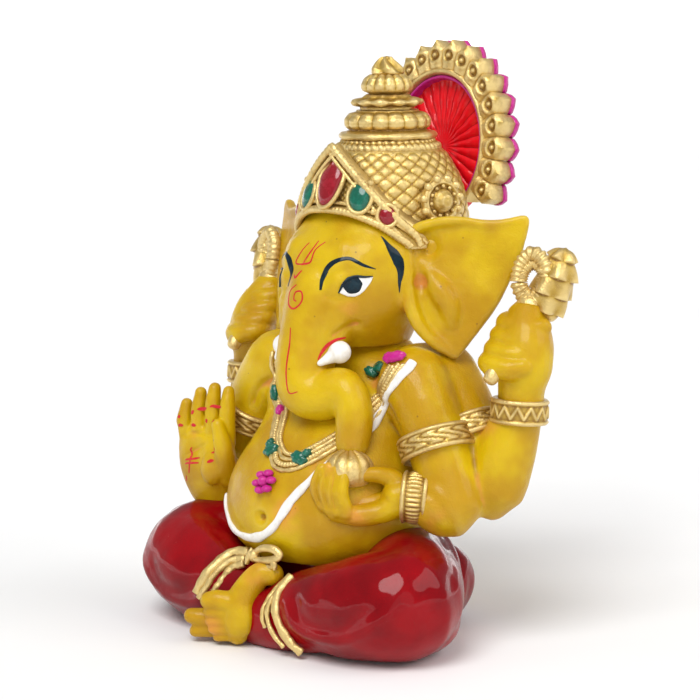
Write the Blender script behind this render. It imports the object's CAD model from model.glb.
"""Seated elephant-headed idol: painted cast resin, built up in lumps like clay and then dressed.

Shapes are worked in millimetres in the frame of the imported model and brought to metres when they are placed.
The idol faces -Y and its own left hand is on +X.
"""

import logging
import math
from dataclasses import dataclass, field, replace
from enum import Enum
from typing import Callable, Sequence

import bmesh
import bpy
import numpy as np
from mathutils import Euler, Matrix, Vector
from mathutils.bvhtree import BVHTree


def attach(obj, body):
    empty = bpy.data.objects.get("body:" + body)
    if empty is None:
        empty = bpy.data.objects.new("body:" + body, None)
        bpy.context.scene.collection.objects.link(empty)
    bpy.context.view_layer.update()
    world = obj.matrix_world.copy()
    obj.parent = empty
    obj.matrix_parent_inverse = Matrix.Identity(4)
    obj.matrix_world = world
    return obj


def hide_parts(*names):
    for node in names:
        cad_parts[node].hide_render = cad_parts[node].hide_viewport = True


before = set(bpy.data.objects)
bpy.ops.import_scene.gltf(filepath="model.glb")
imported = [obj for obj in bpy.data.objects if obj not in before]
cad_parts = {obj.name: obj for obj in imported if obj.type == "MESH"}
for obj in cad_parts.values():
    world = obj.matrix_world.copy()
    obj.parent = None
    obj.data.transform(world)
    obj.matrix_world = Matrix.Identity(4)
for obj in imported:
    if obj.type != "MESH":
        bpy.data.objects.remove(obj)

LOG = logging.getLogger("idol")
MM = 0.001
BODY = "root"
UP = (0.0, 0.0, 1.0)
BACK = (0.0, 1.0, 0.0)

Array = np.ndarray
Stations = Sequence[Sequence[float]]


class Side(Enum):
    """The idol's own left and right."""

    LEFT = 1
    RIGHT = -1

    @property
    def word(self) -> str:
        """The side's name as the CAD nodes write it."""
        return self.name.lower()

    def of(self, stations: Stations) -> list[tuple[float, ...]]:
        """Stations given for the left side, mirrored where this is the right."""
        return [(s[0] * self.value, *s[1:]) for s in stations]


# ---------------------------------------------------------------- curves and fields


def spline(stations: Stations, per: int = 6, closed: bool = False) -> Array:
    """Joins stations by a smooth curve that passes through each.

    Args:
        stations: Rows of numbers; every column is smoothed alike.
        per: Steps between two stations.
        closed: Whether the last station leads back to the first.

    Returns:
        The curve's rows.
    """
    p = np.array(stations, float)
    if closed:
        p = np.vstack([p[-1:], p, p[:2]])
    else:
        p = np.vstack([2 * p[0] - p[1], p, 2 * p[-1] - p[-2]])
    t = np.linspace(0, 1, per, endpoint=False)[:, None]
    rows = [
        0.5 * (2 * b + (c - a) * t + (2 * a - 5 * b + 4 * c - d) * t**2 + (3 * b - a - 3 * c + d) * t**3)
        for a, b, c, d in zip(p, p[1:], p[2:], p[3:])
    ]
    if not closed:
        rows.append(p[-2:-1])
    return np.vstack(rows)


def travel(path: Array) -> Array:
    """Distance from a path's start to each of its rows, measured on its first three columns."""
    steps = np.linalg.norm(np.diff(path[:, :3], axis=0), axis=1)
    return np.concatenate([[0.0], np.cumsum(steps)])


def at_share(path: Array, share: Array) -> Array:
    """Rows of a path at shares, from 0 to 1, of its length."""
    along = travel(path)
    return np.stack([np.interp(share * along[-1], along, path[:, k]) for k in range(path.shape[1])], axis=1)


def unit(v: Array) -> Array:
    """Vectors scaled to length one."""
    return v / np.maximum(np.linalg.norm(v, axis=-1, keepdims=True), 1e-9)


def along(way: Sequence[float]) -> Matrix:
    """A turn that takes Z to a direction."""
    return Vector(way).to_track_quat("Z", "Y").to_matrix().to_4x4()


def ease(x: Array | float) -> Array:
    """Smooth step from 0 to 1 for x from 0 to 1."""
    x = np.clip(x, 0, 1)
    return x * x * (3 - 2 * x)


def grain(points: Array, cell: float, seed: int = 1) -> Array:
    """Smooth seeded unevenness.

    Args:
        points: Positions, one a row.
        cell: Size of one lump.
        seed: Which of the patterns.

    Returns:
        A value from -1 to 1 for each point.
    """
    p = points / cell + 100.0
    low = np.floor(p).astype(np.int64)
    f = ease(p - low)
    total = np.zeros(len(points))
    for dx in (0, 1):
        for dy in (0, 1):
            for dz in (0, 1):
                n = (low[:, 0] + dx) * 73856093 ^ (low[:, 1] + dy) * 19349663 ^ (low[:, 2] + dz) * 83492791
                n = (n ^ seed * 6364136) * 1274126177 & 0x7FFFFFFF
                value = ((n ^ n >> 15) & 0xFFFF) / 32767.5 - 1
                weight = (f[:, 0] if dx else 1 - f[:, 0]) * (f[:, 1] if dy else 1 - f[:, 1])
                total += value * weight * (f[:, 2] if dz else 1 - f[:, 2])
    return total


def level_score(points: Array, rings: Stations) -> Array:
    """How far each point lies out from a stack of level rings, as a share of the ring it is on.

    Args:
        points: Positions.
        rings: Rows of x, y, z, half width and half depth.

    Returns:
        1 on the stack's surface, less inside, more outside and beyond its ends.
    """
    r = spline(rings, 4)
    x, y, z = points.T
    mid, wide, deep = (np.interp(z, r[:, 2], r[:, k]) for k in (1, 3, 4))
    beyond = np.maximum(0, np.maximum(r[0, 2] - z, z - r[-1, 2]))
    return np.sqrt((x / wide) ** 2 + ((y - mid) / deep) ** 2) + beyond * 0.3


def limb_score(points: Array, stations: Stations) -> Array:
    """How far each point lies from a limb's line, as a share of the limb's radius there."""
    rows = spline([(*s[:3], max(s[3:])) for s in stations], 4)
    best = np.full(len(points), 1e9)
    for a, b in zip(rows, rows[1:]):
        ab = b[:3] - a[:3]
        t = np.clip((points - a[:3]) @ ab / max(ab @ ab, 1e-9), 0, 1)
        d = np.linalg.norm(points - (a[:3] + t[:, None] * ab), axis=1) / (a[3] + t * (b[3] - a[3]))
        best = np.minimum(best, d)
    return best


# ---------------------------------------------------------------- meshes in the making


class Surface:
    """A finished surface on which strokes and cords are laid."""

    def __init__(self, *meshes: bpy.types.Mesh) -> None:
        """Takes the meshes, in millimetres, that make up the surface."""
        spots: list[Vector] = []
        faces: list[list[int]] = []
        for mesh in meshes:
            first = len(spots)
            spots += [v.co.copy() for v in mesh.vertices]
            faces += [[first + i for i in p.vertices] for p in mesh.polygons]
        self.tree = BVHTree.FromPolygons(spots, faces)

    def nearest(self, spots: Array) -> tuple[Array, Array]:
        """The nearest point of the surface to each spot, and the surface's direction there."""
        found = [self.tree.find_nearest(Vector(s)) for s in spots]
        return np.array([f[0] for f in found]), np.array([f[1] for f in found])

    def drop(self, spot: Sequence[float], way: Sequence[float]) -> Array:
        """Where a straight line from a spot first meets the surface, or else the nearest point."""
        hit = self.tree.ray_cast(Vector(spot), Vector(way).normalized())[0]
        return np.array(hit if hit is not None else self.tree.find_nearest(Vector(spot))[0])


class Skin:
    """A mesh whose points are pushed about like clay."""

    LIP = 1.0

    def __init__(self, mesh: bpy.types.Mesh) -> None:
        """Reads the mesh's points and edges."""
        self.mesh = mesh
        count = len(mesh.vertices)
        flat = np.empty(count * 3, np.float32)
        mesh.vertices.foreach_get("co", flat)
        self.co = flat.reshape(-1, 3).astype(float)
        pairs = np.empty(len(mesh.edges) * 2, np.int32)
        mesh.edges.foreach_get("vertices", pairs)
        self.pairs = pairs.reshape(-1, 2)
        self.links = np.maximum(np.bincount(pairs, minlength=count), 1)

    def around(self, values: Array) -> Array:
        """The mean of each point's neighbours, for every column of values."""
        a, b = self.pairs.T
        out = np.empty_like(values)
        for k in range(values.shape[1]):
            column = values[:, k]
            out[:, k] = np.bincount(a, column[b], len(values)) + np.bincount(b, column[a], len(values))
        return out / self.links[:, None]

    def relax(self, turns: int, share: float = 0.6, where: Array | None = None) -> "Skin":
        """Smooths the points, everywhere or by how much where says."""
        weight = share if where is None else (share * where)[:, None]
        for _ in range(turns):
            self.co += weight * (self.around(self.co) - self.co)
        return self

    def store(self) -> bpy.types.Mesh:
        """Writes the points back and returns the mesh."""
        self.mesh.vertices.foreach_set("co", self.co.astype(np.float32).ravel())
        self.mesh.update()
        return self.mesh

    def normals(self) -> Array:
        """The direction in which each point faces."""
        self.store()
        flat = np.empty(len(self.co) * 3, np.float32)
        self.mesh.vertices.foreach_get("normal", flat)
        return flat.reshape(-1, 3).astype(float)

    def lift(self, amount: Array) -> "Skin":
        """Moves each point outwards by its own amount."""
        self.co += self.normals() * amount[:, None]
        return self

    def near(self, spot: Sequence[float], size: float | Sequence[float]) -> Array:
        """A soft weight that is 1 at a spot and 0 beyond a size from it."""
        d = np.linalg.norm((self.co - np.array(spot)) / np.array(size), axis=1)
        return np.clip(1 - d * d, 0, 1) ** 2

    def push(self, spot: Sequence[float], size: float | Sequence[float], amount: float) -> "Skin":
        """Swells the surface round a spot, or dents it where the amount is negative."""
        return self.lift(self.near(spot, size) * amount)

    def snap(self, path: Array) -> Array:
        """The points of the mesh nearest to those of a path."""
        return np.array([self.co[np.argmin(((self.co - p) ** 2).sum(1))] for p in path])

    def ridge(self, stations: Stations, width: float, height: float, taper: bool = True) -> "Skin":
        """Raises a fold along stations that are laid on the surface, or cuts a crease where height is negative.

        Args:
            stations: Points near the surface.
            width: How far the fold reaches to each side.
            height: How far it stands out.
            taper: Whether it dies away at both ends.
        """
        line = self.snap(spline([s[:3] for s in stations], 5))
        line = spline(at_share(line, np.linspace(0, 1, max(4, len(line) // 2))), 3)
        reach = width * 2.4
        inside = np.all((self.co > line.min(0) - reach) & (self.co < line.max(0) + reach), axis=1)
        p = self.co[inside]
        best, share = np.full(len(p), 1e9), np.zeros(len(p))
        count = len(line) - 1
        for k in range(count):
            a, ab = line[k], line[k + 1] - line[k]
            t = np.clip((p - a) @ ab / max(ab @ ab, 1e-9), 0, 1)
            d = np.linalg.norm(p - (a + t[:, None] * ab), axis=1)
            share = np.where(d < best, (k + t) / count, share)
            best = np.minimum(best, d)
        strength = np.exp(-((best / width) ** 2))
        if taper:
            strength = strength * ease(5 * share) * ease(5 * (1 - share))
        amount = np.zeros(len(self.co))
        amount[inside] = strength * height
        return self.lift(amount)

    def keep_hollows(self, turns: int = 14, depth: float = 0.3) -> "Skin":
        """Stores how far each point lies in a hollow, from 0 on a ridge to 1 in a crease, for the finishes."""
        facing = self.normals()
        base = self.co.copy()
        for _ in range(turns):
            base = 0.4 * base + 0.6 * self.around(base)
        value = 0.5 + 0.5 * ((base - self.co) * facing).sum(1) / depth
        layer = self.mesh.attributes.new("hollow", "FLOAT", "POINT")
        layer.data.foreach_set("value", np.clip(value, 0, 1).astype(np.float32))
        return self

    def share_out(self, scores: dict[str, Array]) -> dict[str, bpy.types.Mesh]:
        """Cuts the lump into castings, each closed where it was cut.

        Args:
            scores: For each casting, every point's distance from it. A point goes to the lowest.

        Returns:
            The castings' meshes by name. They keep the whole lump's directions, so that no seam shows.
        """
        facing = self.normals().astype(np.float32)
        keep = self.mesh.attributes.new("cast_normal", "FLOAT_VECTOR", "POINT")
        keep.data.foreach_set("vector", facing.ravel())
        label = np.argmin(np.vstack(list(scores.values())), axis=0)
        starts = np.empty(len(self.mesh.polygons), np.int32)
        corners = np.empty(len(self.mesh.loops), np.int32)
        self.mesh.polygons.foreach_get("loop_start", starts)
        self.mesh.loops.foreach_get("vertex_index", corners)
        face_label = label[corners[starts]]
        castings: dict[str, bpy.types.Mesh] = {}
        for k, name in enumerate(scores):
            bm = bmesh.new()
            bm.from_mesh(self.mesh)
            gone = [f for f, owner in zip(bm.faces, face_label) if owner != k]
            bmesh.ops.delete(bm, geom=gone, context="FACES")
            open_edges = [e for e in bm.edges if e.is_boundary]
            if open_edges:
                inward = bm.verts.layers.float_vector["cast_normal"]
                made = bmesh.ops.extrude_edge_only(bm, edges=open_edges)["geom"]
                for vert in (g for g in made if isinstance(g, bmesh.types.BMVert)):
                    vert.co -= vert[inward] * self.LIP
                rim = [e for e in bm.edges if e.is_boundary]
                cap = bmesh.ops.holes_fill(bm, edges=rim, sides=0)["faces"]
                bmesh.ops.triangulate(bm, faces=cap)
                bmesh.ops.recalc_face_normals(bm, faces=bm.faces)
            mesh = bpy.data.meshes.new(name)
            bm.to_mesh(mesh)
            bm.free()
            flat = np.empty(len(mesh.vertices) * 3, np.float32)
            mesh.attributes["cast_normal"].data.foreach_get("vector", flat)
            mesh.polygons.foreach_set("use_smooth", np.ones(len(mesh.polygons), bool))
            mesh.attributes.remove(mesh.attributes["cast_normal"])
            mesh.normals_split_custom_set_from_vertices(flat.reshape(-1, 3).tolist())
            castings[name] = mesh
        return castings


class Form:
    """A shape in the making, in millimetres."""

    def __init__(self) -> None:
        """Starts empty."""
        self.bm = bmesh.new()

    def ball(
        self,
        at: Sequence[float],
        size: float | Sequence[float],
        turn: Sequence[float] = (0, 0, 0),
        rounds: int = 3,
    ) -> "Form":
        """Adds a ball or pebble of one or three half sizes, turned by degrees."""
        sizes = (size,) * 3 if isinstance(size, (int, float)) else size
        place = Matrix.LocRotScale(Vector(at), Euler([math.radians(a) for a in turn]), Vector(sizes))
        bmesh.ops.create_icosphere(self.bm, subdivisions=rounds, radius=1, matrix=place)
        return self

    def limb(
        self,
        stations: Stations,
        ref: Sequence[float] = BACK,
        sides: int = 22,
        per: int = 5,
        level: bool = False,
        domed: bool = True,
    ) -> "Form":
        """Adds a closed limb.

        Args:
            stations: Rows of x, y, z and a radius, or a half width across ref and a half depth along it.
            ref: The direction that the half depth is measured towards.
            sides: Corners of each ring.
            per: Rings between two stations.
            level: Whether every ring stays level.
            domed: Whether the ends are rounded off.
        """
        rows = spline([s if len(s) == 5 else (*s, s[3]) for s in stations], per)
        ways = unit(np.gradient(rows[:, :3], axis=0))
        if level:
            ways[:] = UP
        hoops = [(r[:3], w, r[3], r[4]) for r, w in zip(rows, ways)]
        if domed:
            for end, sign in ((0, -1), (-1, 1)):
                spot, way, a, b = hoops[end]
                extra = [
                    (spot + way * sign * min(a, b) * math.sin(t), way, a * math.cos(t), b * math.cos(t))
                    for t in (0.45, 0.9, 1.3)
                ]
                hoops = extra[::-1] + hoops if sign < 0 else hoops + extra
        loops = []
        for spot, way, a, b in hoops:
            across = unit(np.cross(ref, way))
            other = np.cross(way, across)
            place = Matrix(np.column_stack([across * a, other * b, way, spot]).tolist() + [[0, 0, 0, 1]])
            ring = bmesh.ops.create_circle(
                self.bm, cap_ends=False, segments=sides, radius=1, matrix=place,
            )["verts"]
            loops.append(list({e for v in ring for e in v.link_edges}))
        for first, second in zip(loops, loops[1:]):
            bmesh.ops.bridge_loops(self.bm, edges=first + second)
        for end in (loops[0], loops[-1]):
            bmesh.ops.edgeloop_fill(self.bm, edges=end)
        return self

    def slab(self, outline: Stations, thick: float, place: Matrix) -> "Form":
        """Adds a flat plate of an outline, of equal thickness to both sides of its plane."""
        ring = [self.bm.verts.new((x, y, -thick / 2)) for x, y in outline]
        face = self.bm.faces.new(ring)
        grown = bmesh.ops.extrude_face_region(self.bm, geom=[face])["geom"]
        top = [g for g in grown if isinstance(g, bmesh.types.BMVert)]
        bmesh.ops.translate(self.bm, verts=top, vec=(0, 0, thick))
        bmesh.ops.transform(self.bm, matrix=place, verts=ring + top)
        bmesh.ops.triangulate(self.bm, faces=[f for f in self.bm.faces if len(f.verts) > 4])
        return self

    def wrap(
        self,
        across: int,
        along: int,
        spots: Callable[[Array, Array], Array],
        place: Matrix | None = None,
    ) -> "Form":
        """Lays a grid over a surface and welds it where it meets itself.

        Args:
            across: Steps in the first direction.
            along: Steps in the second.
            spots: Gives the positions for shares, from 0 to 1, of the two directions.
            place: Where the whole goes.
        """
        verts = bmesh.ops.create_grid(self.bm, x_segments=across, y_segments=along, size=0.5)["verts"]
        shares = np.array([v.co[:2] for v in verts]) + 0.5
        for v, spot in zip(verts, spots(shares[:, 0], shares[:, 1])):
            v.co = spot
        if place is not None:
            bmesh.ops.transform(self.bm, matrix=place, verts=verts)
        bmesh.ops.remove_doubles(self.bm, verts=verts, dist=0.002)
        return self

    def turned(
        self,
        profile: Stations,
        round_steps: int,
        rows: int,
        carve: Callable[[Array, Array], Array] | None = None,
        place: Matrix | None = None,
        closed: bool = False,
        smooth: bool = False,
    ) -> "Form":
        """Adds a turned shape about Z whose surface may be carved.

        Args:
            profile: Rows of radius and height.
            round_steps: Steps round the axis.
            rows: Steps along the profile.
            carve: Gives how far the surface stands out at an angle in radians and a share of the profile.
            place: Where it goes.
            closed: Whether the profile is a loop, as for a band.
            smooth: Whether the profile is rounded through its points.
        """
        line = np.array([(r, z, 0.0) for r, z in profile])
        if smooth:
            line = spline(line, 6, closed)
        if closed:
            line = np.vstack([line, line[:1]])

        def spots(u: Array, v: Array) -> Array:
            """Positions on the turned surface."""
            angle = 2 * math.pi * u
            rz = at_share(line, v)
            ahead, behind = at_share(line, np.clip(v + 0.004, 0, 1)), at_share(line, np.clip(v - 0.004, 0, 1))
            way = unit(ahead[:, :2] - behind[:, :2])
            out = np.stack([way[:, 1], -way[:, 0]], axis=1)
            if carve is not None:
                rz = rz.copy()
                rz[:, :2] += out * (carve(angle, v) * np.minimum(1, rz[:, 0]))[:, None]
            radius = np.maximum(rz[:, 0], 0)
            return np.stack([radius * np.cos(angle), radius * np.sin(angle), rz[:, 1]], axis=1)

        return self.wrap(round_steps, rows, spots, place)

    def strand(
        self,
        path: Array,
        steps: int,
        sides: int,
        size: Callable[[Array, Array], Array],
        facing: Array | Sequence[float] = UP,
    ) -> "Form":
        """Adds a cord along a path.

        Args:
            path: Rows of positions.
            steps: Steps along it.
            sides: Steps round it.
            size: Gives half width and half height, two columns, at a share of the length and an angle.
            facing: The direction of the cord's height, one for all or one a row of the path.
        """
        whole = np.hstack([path[:, :3], np.broadcast_to(facing, (len(path), 3))])

        def spots(u: Array, v: Array) -> Array:
            """Positions on the cord's surface."""
            here, ahead, behind = (at_share(whole, np.clip(u + d, 0, 1)) for d in (0, 0.002, -0.002))
            way = unit(ahead[:, :3] - behind[:, :3])
            across = unit(np.cross(here[:, 3:], way))
            tall = np.cross(way, across)
            angle = 2 * math.pi * v
            half = size(u, angle)
            closing = (u > 0.0001) & (u < 0.9999)
            half = half * closing[:, None]
            return (
                here[:, :3]
                + across * (np.cos(angle) * half[:, 0])[:, None]
                + tall * (np.sin(angle) * half[:, 1])[:, None]
            )

        return self.wrap(steps, sides, spots)

    def mesh(self, name: str, hollows: bool = True) -> bpy.types.Mesh:
        """Closes the work.

        Args:
            name: The mesh's name.
            hollows: Whether to store where its creases are.

        Returns:
            The finished mesh, facing outwards.
        """
        bmesh.ops.recalc_face_normals(self.bm, faces=self.bm.faces)
        mesh = bpy.data.meshes.new(name)
        self.bm.to_mesh(mesh)
        self.bm.free()
        mesh.polygons.foreach_set("use_smooth", np.ones(len(mesh.polygons), bool))
        if hollows:
            Skin(mesh).keep_hollows(8, 0.15)
        return mesh

    def fuse(self, voxel: float, turns: int = 5) -> Skin:
        """Fuses all that was added into one lump.

        Args:
            voxel: Size of the fused mesh's faces.
            turns: How often it is smoothed.

        Returns:
            The lump.
        """
        raw = self.mesh("raw_lump", hollows=False)
        holder = bpy.data.objects.new("raw_lump", raw)
        bpy.context.scene.collection.objects.link(holder)
        knead = holder.modifiers.new("knead", "REMESH")
        knead.mode = "VOXEL"
        knead.voxel_size = voxel
        graph = bpy.context.evaluated_depsgraph_get()
        fused = bpy.data.meshes.new_from_object(holder.evaluated_get(graph), depsgraph=graph)
        bpy.data.objects.remove(holder)
        bpy.data.meshes.remove(raw)
        fused.polygons.foreach_set("use_smooth", np.ones(len(fused.polygons), bool))
        return Skin(fused).relax(turns)


class Bench:
    """Places finished meshes in the scene as pieces of the idol."""

    def place(
        self,
        name: str,
        mesh: bpy.types.Mesh,
        finish: bpy.types.Material,
        slot: str,
        *nodes: str,
    ) -> bpy.types.Object:
        """Brings a mesh to metres, gives it its finish and fixes it to the idol.

        Args:
            name: The piece's name.
            mesh: The mesh in millimetres.
            finish: Its material.
            slot: The record's material slot.
            nodes: The CAD nodes that it stands for.

        Returns:
            The placed object.
        """
        mesh.transform(Matrix.Scale(MM, 4))
        mesh.name = name
        piece = bpy.data.objects.new(name, mesh)
        bpy.context.scene.collection.objects.link(piece)
        mesh.materials.clear()
        mesh.materials.append(finish)
        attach(piece, BODY)
        if nodes:
            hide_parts(*nodes)
        LOG.info("placed %s: %d faces", name, len(mesh.polygons))
        return piece


# ---------------------------------------------------------------- finishes


class Wire:
    """One socket's value in a material, which can be used in sums."""

    def __init__(self, recipe: "Recipe", socket: bpy.types.NodeSocket) -> None:
        """Wraps a socket of a recipe."""
        self.recipe = recipe
        self.socket = socket

    def _sum(self, kind: str, other: "Wire | float", swapped: bool = False) -> "Wire":
        """One Math node on this value and another."""
        pair = (other, self) if swapped else (self, other)
        return self.recipe.node("ShaderNodeMath", {"operation": kind}, {0: pair[0], 1: pair[1]})

    def __add__(self, other: "Wire | float") -> "Wire":
        """This plus another."""
        return self._sum("ADD", other)

    def __sub__(self, other: "Wire | float") -> "Wire":
        """This less another."""
        return self._sum("SUBTRACT", other)

    def __rsub__(self, other: float) -> "Wire":
        """Another less this."""
        return self._sum("SUBTRACT", other, True)

    def __mul__(self, other: "Wire | float") -> "Wire":
        """This times another."""
        return self._sum("MULTIPLY", other)

    __radd__ = __add__
    __rmul__ = __mul__

    def band(self, low: float, high: float) -> "Wire":
        """0 below low and 1 above high, smooth between."""
        return self.recipe.node(
            "ShaderNodeMapRange",
            {"interpolation_type": "SMOOTHSTEP"},
            {"Value": self, "From Min": low, "From Max": high},
        )


Value = Wire | float | tuple[float, ...]


class Recipe:
    """A material in the making."""

    def __init__(self, name: str) -> None:
        """Starts with a lone shader and its output."""
        self.material = bpy.data.materials.new(name)
        self.material.use_nodes = True
        self.tree = self.material.node_tree
        self.tree.nodes.clear()
        self.shader = self.tree.nodes.new("ShaderNodeBsdfPrincipled")
        output = self.tree.nodes.new("ShaderNodeOutputMaterial")
        self.tree.links.new(self.shader.outputs["BSDF"], output.inputs["Surface"])
        self.spot = self.node("ShaderNodeTexCoord", output="Object")

    def _feed(self, socket: bpy.types.NodeSocket, value: Value) -> None:
        """Links or sets one socket."""
        if isinstance(value, Wire):
            self.tree.links.new(value.socket, socket)
        elif isinstance(value, tuple) and len(value) == 3 and socket.type == "RGBA":
            socket.default_value = (*value, 1.0)
        else:
            socket.default_value = value

    def node(
        self,
        kind: str,
        settings: dict[str, object] | None = None,
        sockets: dict[str | int, Value] | None = None,
        output: str | int = 0,
    ) -> Wire:
        """Adds a node.

        Args:
            kind: The node's type.
            settings: Its own settings, made first.
            sockets: Values or wires for its sockets.
            output: Which output is wanted.

        Returns:
            The output, ready for sums.
        """
        made = self.tree.nodes.new(kind)
        for key, value in (settings or {}).items():
            setattr(made, key, value)
        for key, value in (sockets or {}).items():
            self._feed(made.inputs[key], value)
        return Wire(self, made.outputs[output])

    def set(self, **sockets: Value) -> None:
        """Feeds the shader's sockets, whose names are written with low lines for spaces."""
        for key, value in sockets.items():
            self._feed(self.shader.inputs[key.replace("_", " ")], value)

    def mix(self, share: Wire | float, first: Value, second: Value) -> Wire:
        """Mixes two colours."""
        return self.node("ShaderNodeMix", {"data_type": "RGBA"}, {0: share, 6: first, 7: second}, 2)

    def cloud(self, size: float, detail: float = 2.0, roughness: float = 0.5) -> Wire:
        """Soft unevenness whose lumps are about a size in millimetres."""
        return self.node(
            "ShaderNodeTexNoise",
            sockets={"Vector": self.spot, "Scale": 1000.0 / size, "Detail": detail, "Roughness": roughness},
        )

    def specks(self, size: float, reach: float) -> Wire:
        """Scattered round dots, 1 at their middles, of a spacing in millimetres and a share of it."""
        far = self.node("ShaderNodeTexVoronoi", sockets={"Vector": self.spot, "Scale": 1000.0 / size})
        return 1 - far.band(reach * 0.5, reach)

    def near(self, at: tuple[float, float, float], reach: float) -> Wire:
        """Nearness to a place: 1 at it, 0 from a reach in millimetres away."""
        place = tuple(c * MM for c in at)
        far = self.node("ShaderNodeVectorMath", {"operation": "DISTANCE"}, {0: self.spot, 1: place}, "Value")
        return (1 - far * (1 / (reach * MM))).band(0, 0.8)

    def hollow(self) -> Wire:
        """How far the surface lies in a crease, from 0 on a ridge through one half to 1."""
        return self.node("ShaderNodeAttribute", {"attribute_name": "hollow"}, output="Fac")

    def bump(self, height: Wire, depth: float) -> Wire:
        """A direction that makes heights show, of a depth in millimetres."""
        return self.node(
            "ShaderNodeBump", sockets={"Height": height, "Distance": depth * MM, "Strength": 1.0},
            output="Normal",
        )


@dataclass(frozen=True)
class ResinSkin:
    """Waxy tinted casting resin, rubbed in its creases and a little dusty."""

    name: str = "skin_resin"
    light: tuple[float, float, float] = (0.62, 0.415, 0.001)
    deep: tuple[float, float, float] = (0.47, 0.255, 0.0005)
    rubbed: tuple[float, float, float] = (0.70, 0.27, 0.05)
    crease: tuple[float, float, float] = (0.27, 0.11, 0.002)
    speck: tuple[float, float, float] = (0.16, 0.07, 0.01)
    dust: tuple[float, float, float] = (0.68, 0.58, 0.16)
    rubs: tuple[tuple[tuple[float, float, float], float], ...] = (
        ((10.4, -11.2, 71.8), 2.8),
        ((-10.4, -11.2, 71.8), 2.8),
        ((15.2, -17.5, 42.0), 4.5),
        ((1.0, -31.5, 16.0), 4.0),
        ((-6.0, -38.0, 4.0), 4.0),
        ((20.5, -18.0, 35.0), 5.0),
        ((21.0, -20.5, 30.0), 4.0),
        ((7.0, -27.5, 29.0), 6.0),
        ((13.0, -22.0, 39.0), 6.0),
        ((-33.0, -18.5, 41.0), 3.5),
        ((34.0, -10.0, 29.0), 6.0),
        ((21.0, -8.5, 56.0), 6.0),
        ((19.0, -3.0, 70.0), 5.0),
        ((40.0, 1.0, 46.0), 4.5),
    )

    def material(self) -> bpy.types.Material:
        """Builds the finish."""
        r = Recipe(self.name)
        hollow = r.hollow()
        patches = r.cloud(9.0, 3.0)
        fine = r.cloud(1.2, 4.0, 0.6)
        colour = r.mix(r.cloud(16.0, 3.0, 0.55).band(0.38, 0.66), self.deep, self.light)
        colour = r.mix(hollow.band(0.66, 1.0) * 0.75, colour, self.crease)
        colour = r.mix(hollow.band(0.6, 0.85) * patches.band(0.5, 0.62) * 0.7, colour, self.rubbed)
        for at, reach in self.rubs:
            colour = r.mix(r.near(at, reach) * patches.band(0.42, 0.62) * 0.6, colour, self.rubbed)
        colour = r.mix((1 - hollow).band(0.62, 0.95) * 0.2, colour, self.dust)
        colour = r.mix(r.cloud(4.0, 5.0, 0.7).band(0.6, 0.78) * 0.14, colour, self.dust)
        colour = r.mix(r.specks(5.0, 0.06) * 0.6, colour, self.speck)
        r.set(
            Base_Color=colour,
            Roughness=fine * 0.2 + patches * 0.2 + 0.24,
            Normal=r.bump(fine * 0.5 + r.cloud(0.35, 2.0) * 0.2 + patches, 0.28),
            Subsurface_Weight=0.14,
            Subsurface_Radius=(1.0, 0.45, 0.04),
            Subsurface_Scale=0.0016,
            Coat_Weight=0.2,
            Coat_Roughness=0.14,
            Specular_IOR_Level=0.2,
        )
        return r.material


@dataclass(frozen=True)
class GoldPaint:
    """Antique gold paint: dark in its hollows, bright where it stands out."""

    name: str = "gold_paint"
    bright: tuple[float, float, float] = (0.76, 0.57, 0.23)
    body: tuple[float, float, float] = (0.52, 0.33, 0.05)
    dark: tuple[float, float, float] = (0.23, 0.11, 0.016)
    metal: float = 0.72

    def material(self) -> bpy.types.Material:
        """Builds the finish."""
        r = Recipe(self.name)
        hollow = r.hollow()
        mottle = r.cloud(3.2, 4.0, 0.65)
        flakes = r.cloud(0.4, 2.0, 0.6)
        colour = r.mix((1 - hollow).band(0.35, 0.85), self.body, self.bright)
        colour = r.mix(hollow.band(0.5, 0.9) * 0.9, colour, self.dark)
        colour = r.mix(mottle.band(0.45, 0.75) * 0.45, colour, self.dark)
        colour = r.mix(flakes.band(0.55, 0.75) * 0.35, colour, self.bright)
        r.set(
            Base_Color=colour,
            Metallic=self.metal - hollow.band(0.5, 0.95) * 0.3,
            Roughness=mottle * 0.2 + flakes * 0.16 + 0.2,
            Normal=r.bump(flakes + mottle, 0.12),
            Coat_Weight=0.15,
            Coat_Roughness=0.2,
        )
        return r.material


@dataclass(frozen=True)
class RedLacquer:
    """Deep glossy red with a breath of dust."""

    name: str = "red_lacquer"
    body: tuple[float, float, float] = (0.29, 0.0003, 0.004)
    deep: tuple[float, float, float] = (0.17, 0.0003, 0.003)
    dust: tuple[float, float, float] = (0.55, 0.20, 0.17)

    def material(self) -> bpy.types.Material:
        """Builds the finish."""
        r = Recipe(self.name)
        hollow = r.hollow()
        pool = r.cloud(14.0, 3.0)
        film = r.cloud(2.2, 5.0, 0.7)
        colour = r.mix(pool.band(0.35, 0.7), self.deep, self.body)
        colour = r.mix(hollow.band(0.6, 0.95) * 0.8, colour, self.deep)
        colour = r.mix(film.band(0.66, 0.86) * 0.04, colour, self.dust)
        colour = r.mix(r.specks(2.4, 0.07) * film.band(0.45, 0.6) * 0.2, colour, self.dust)
        r.set(
            Base_Color=colour,
            Roughness=film * 0.25 + 0.2,
            Specular_IOR_Level=0.02,
            Normal=r.bump(pool * 0.7 + film * 0.3 + r.cloud(0.6, 2.0) * 0.06, 0.35),
            Coat_Weight=0.6,
            Coat_Roughness=0.05,
            Coat_IOR=1.4,
        )
        return r.material


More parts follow.
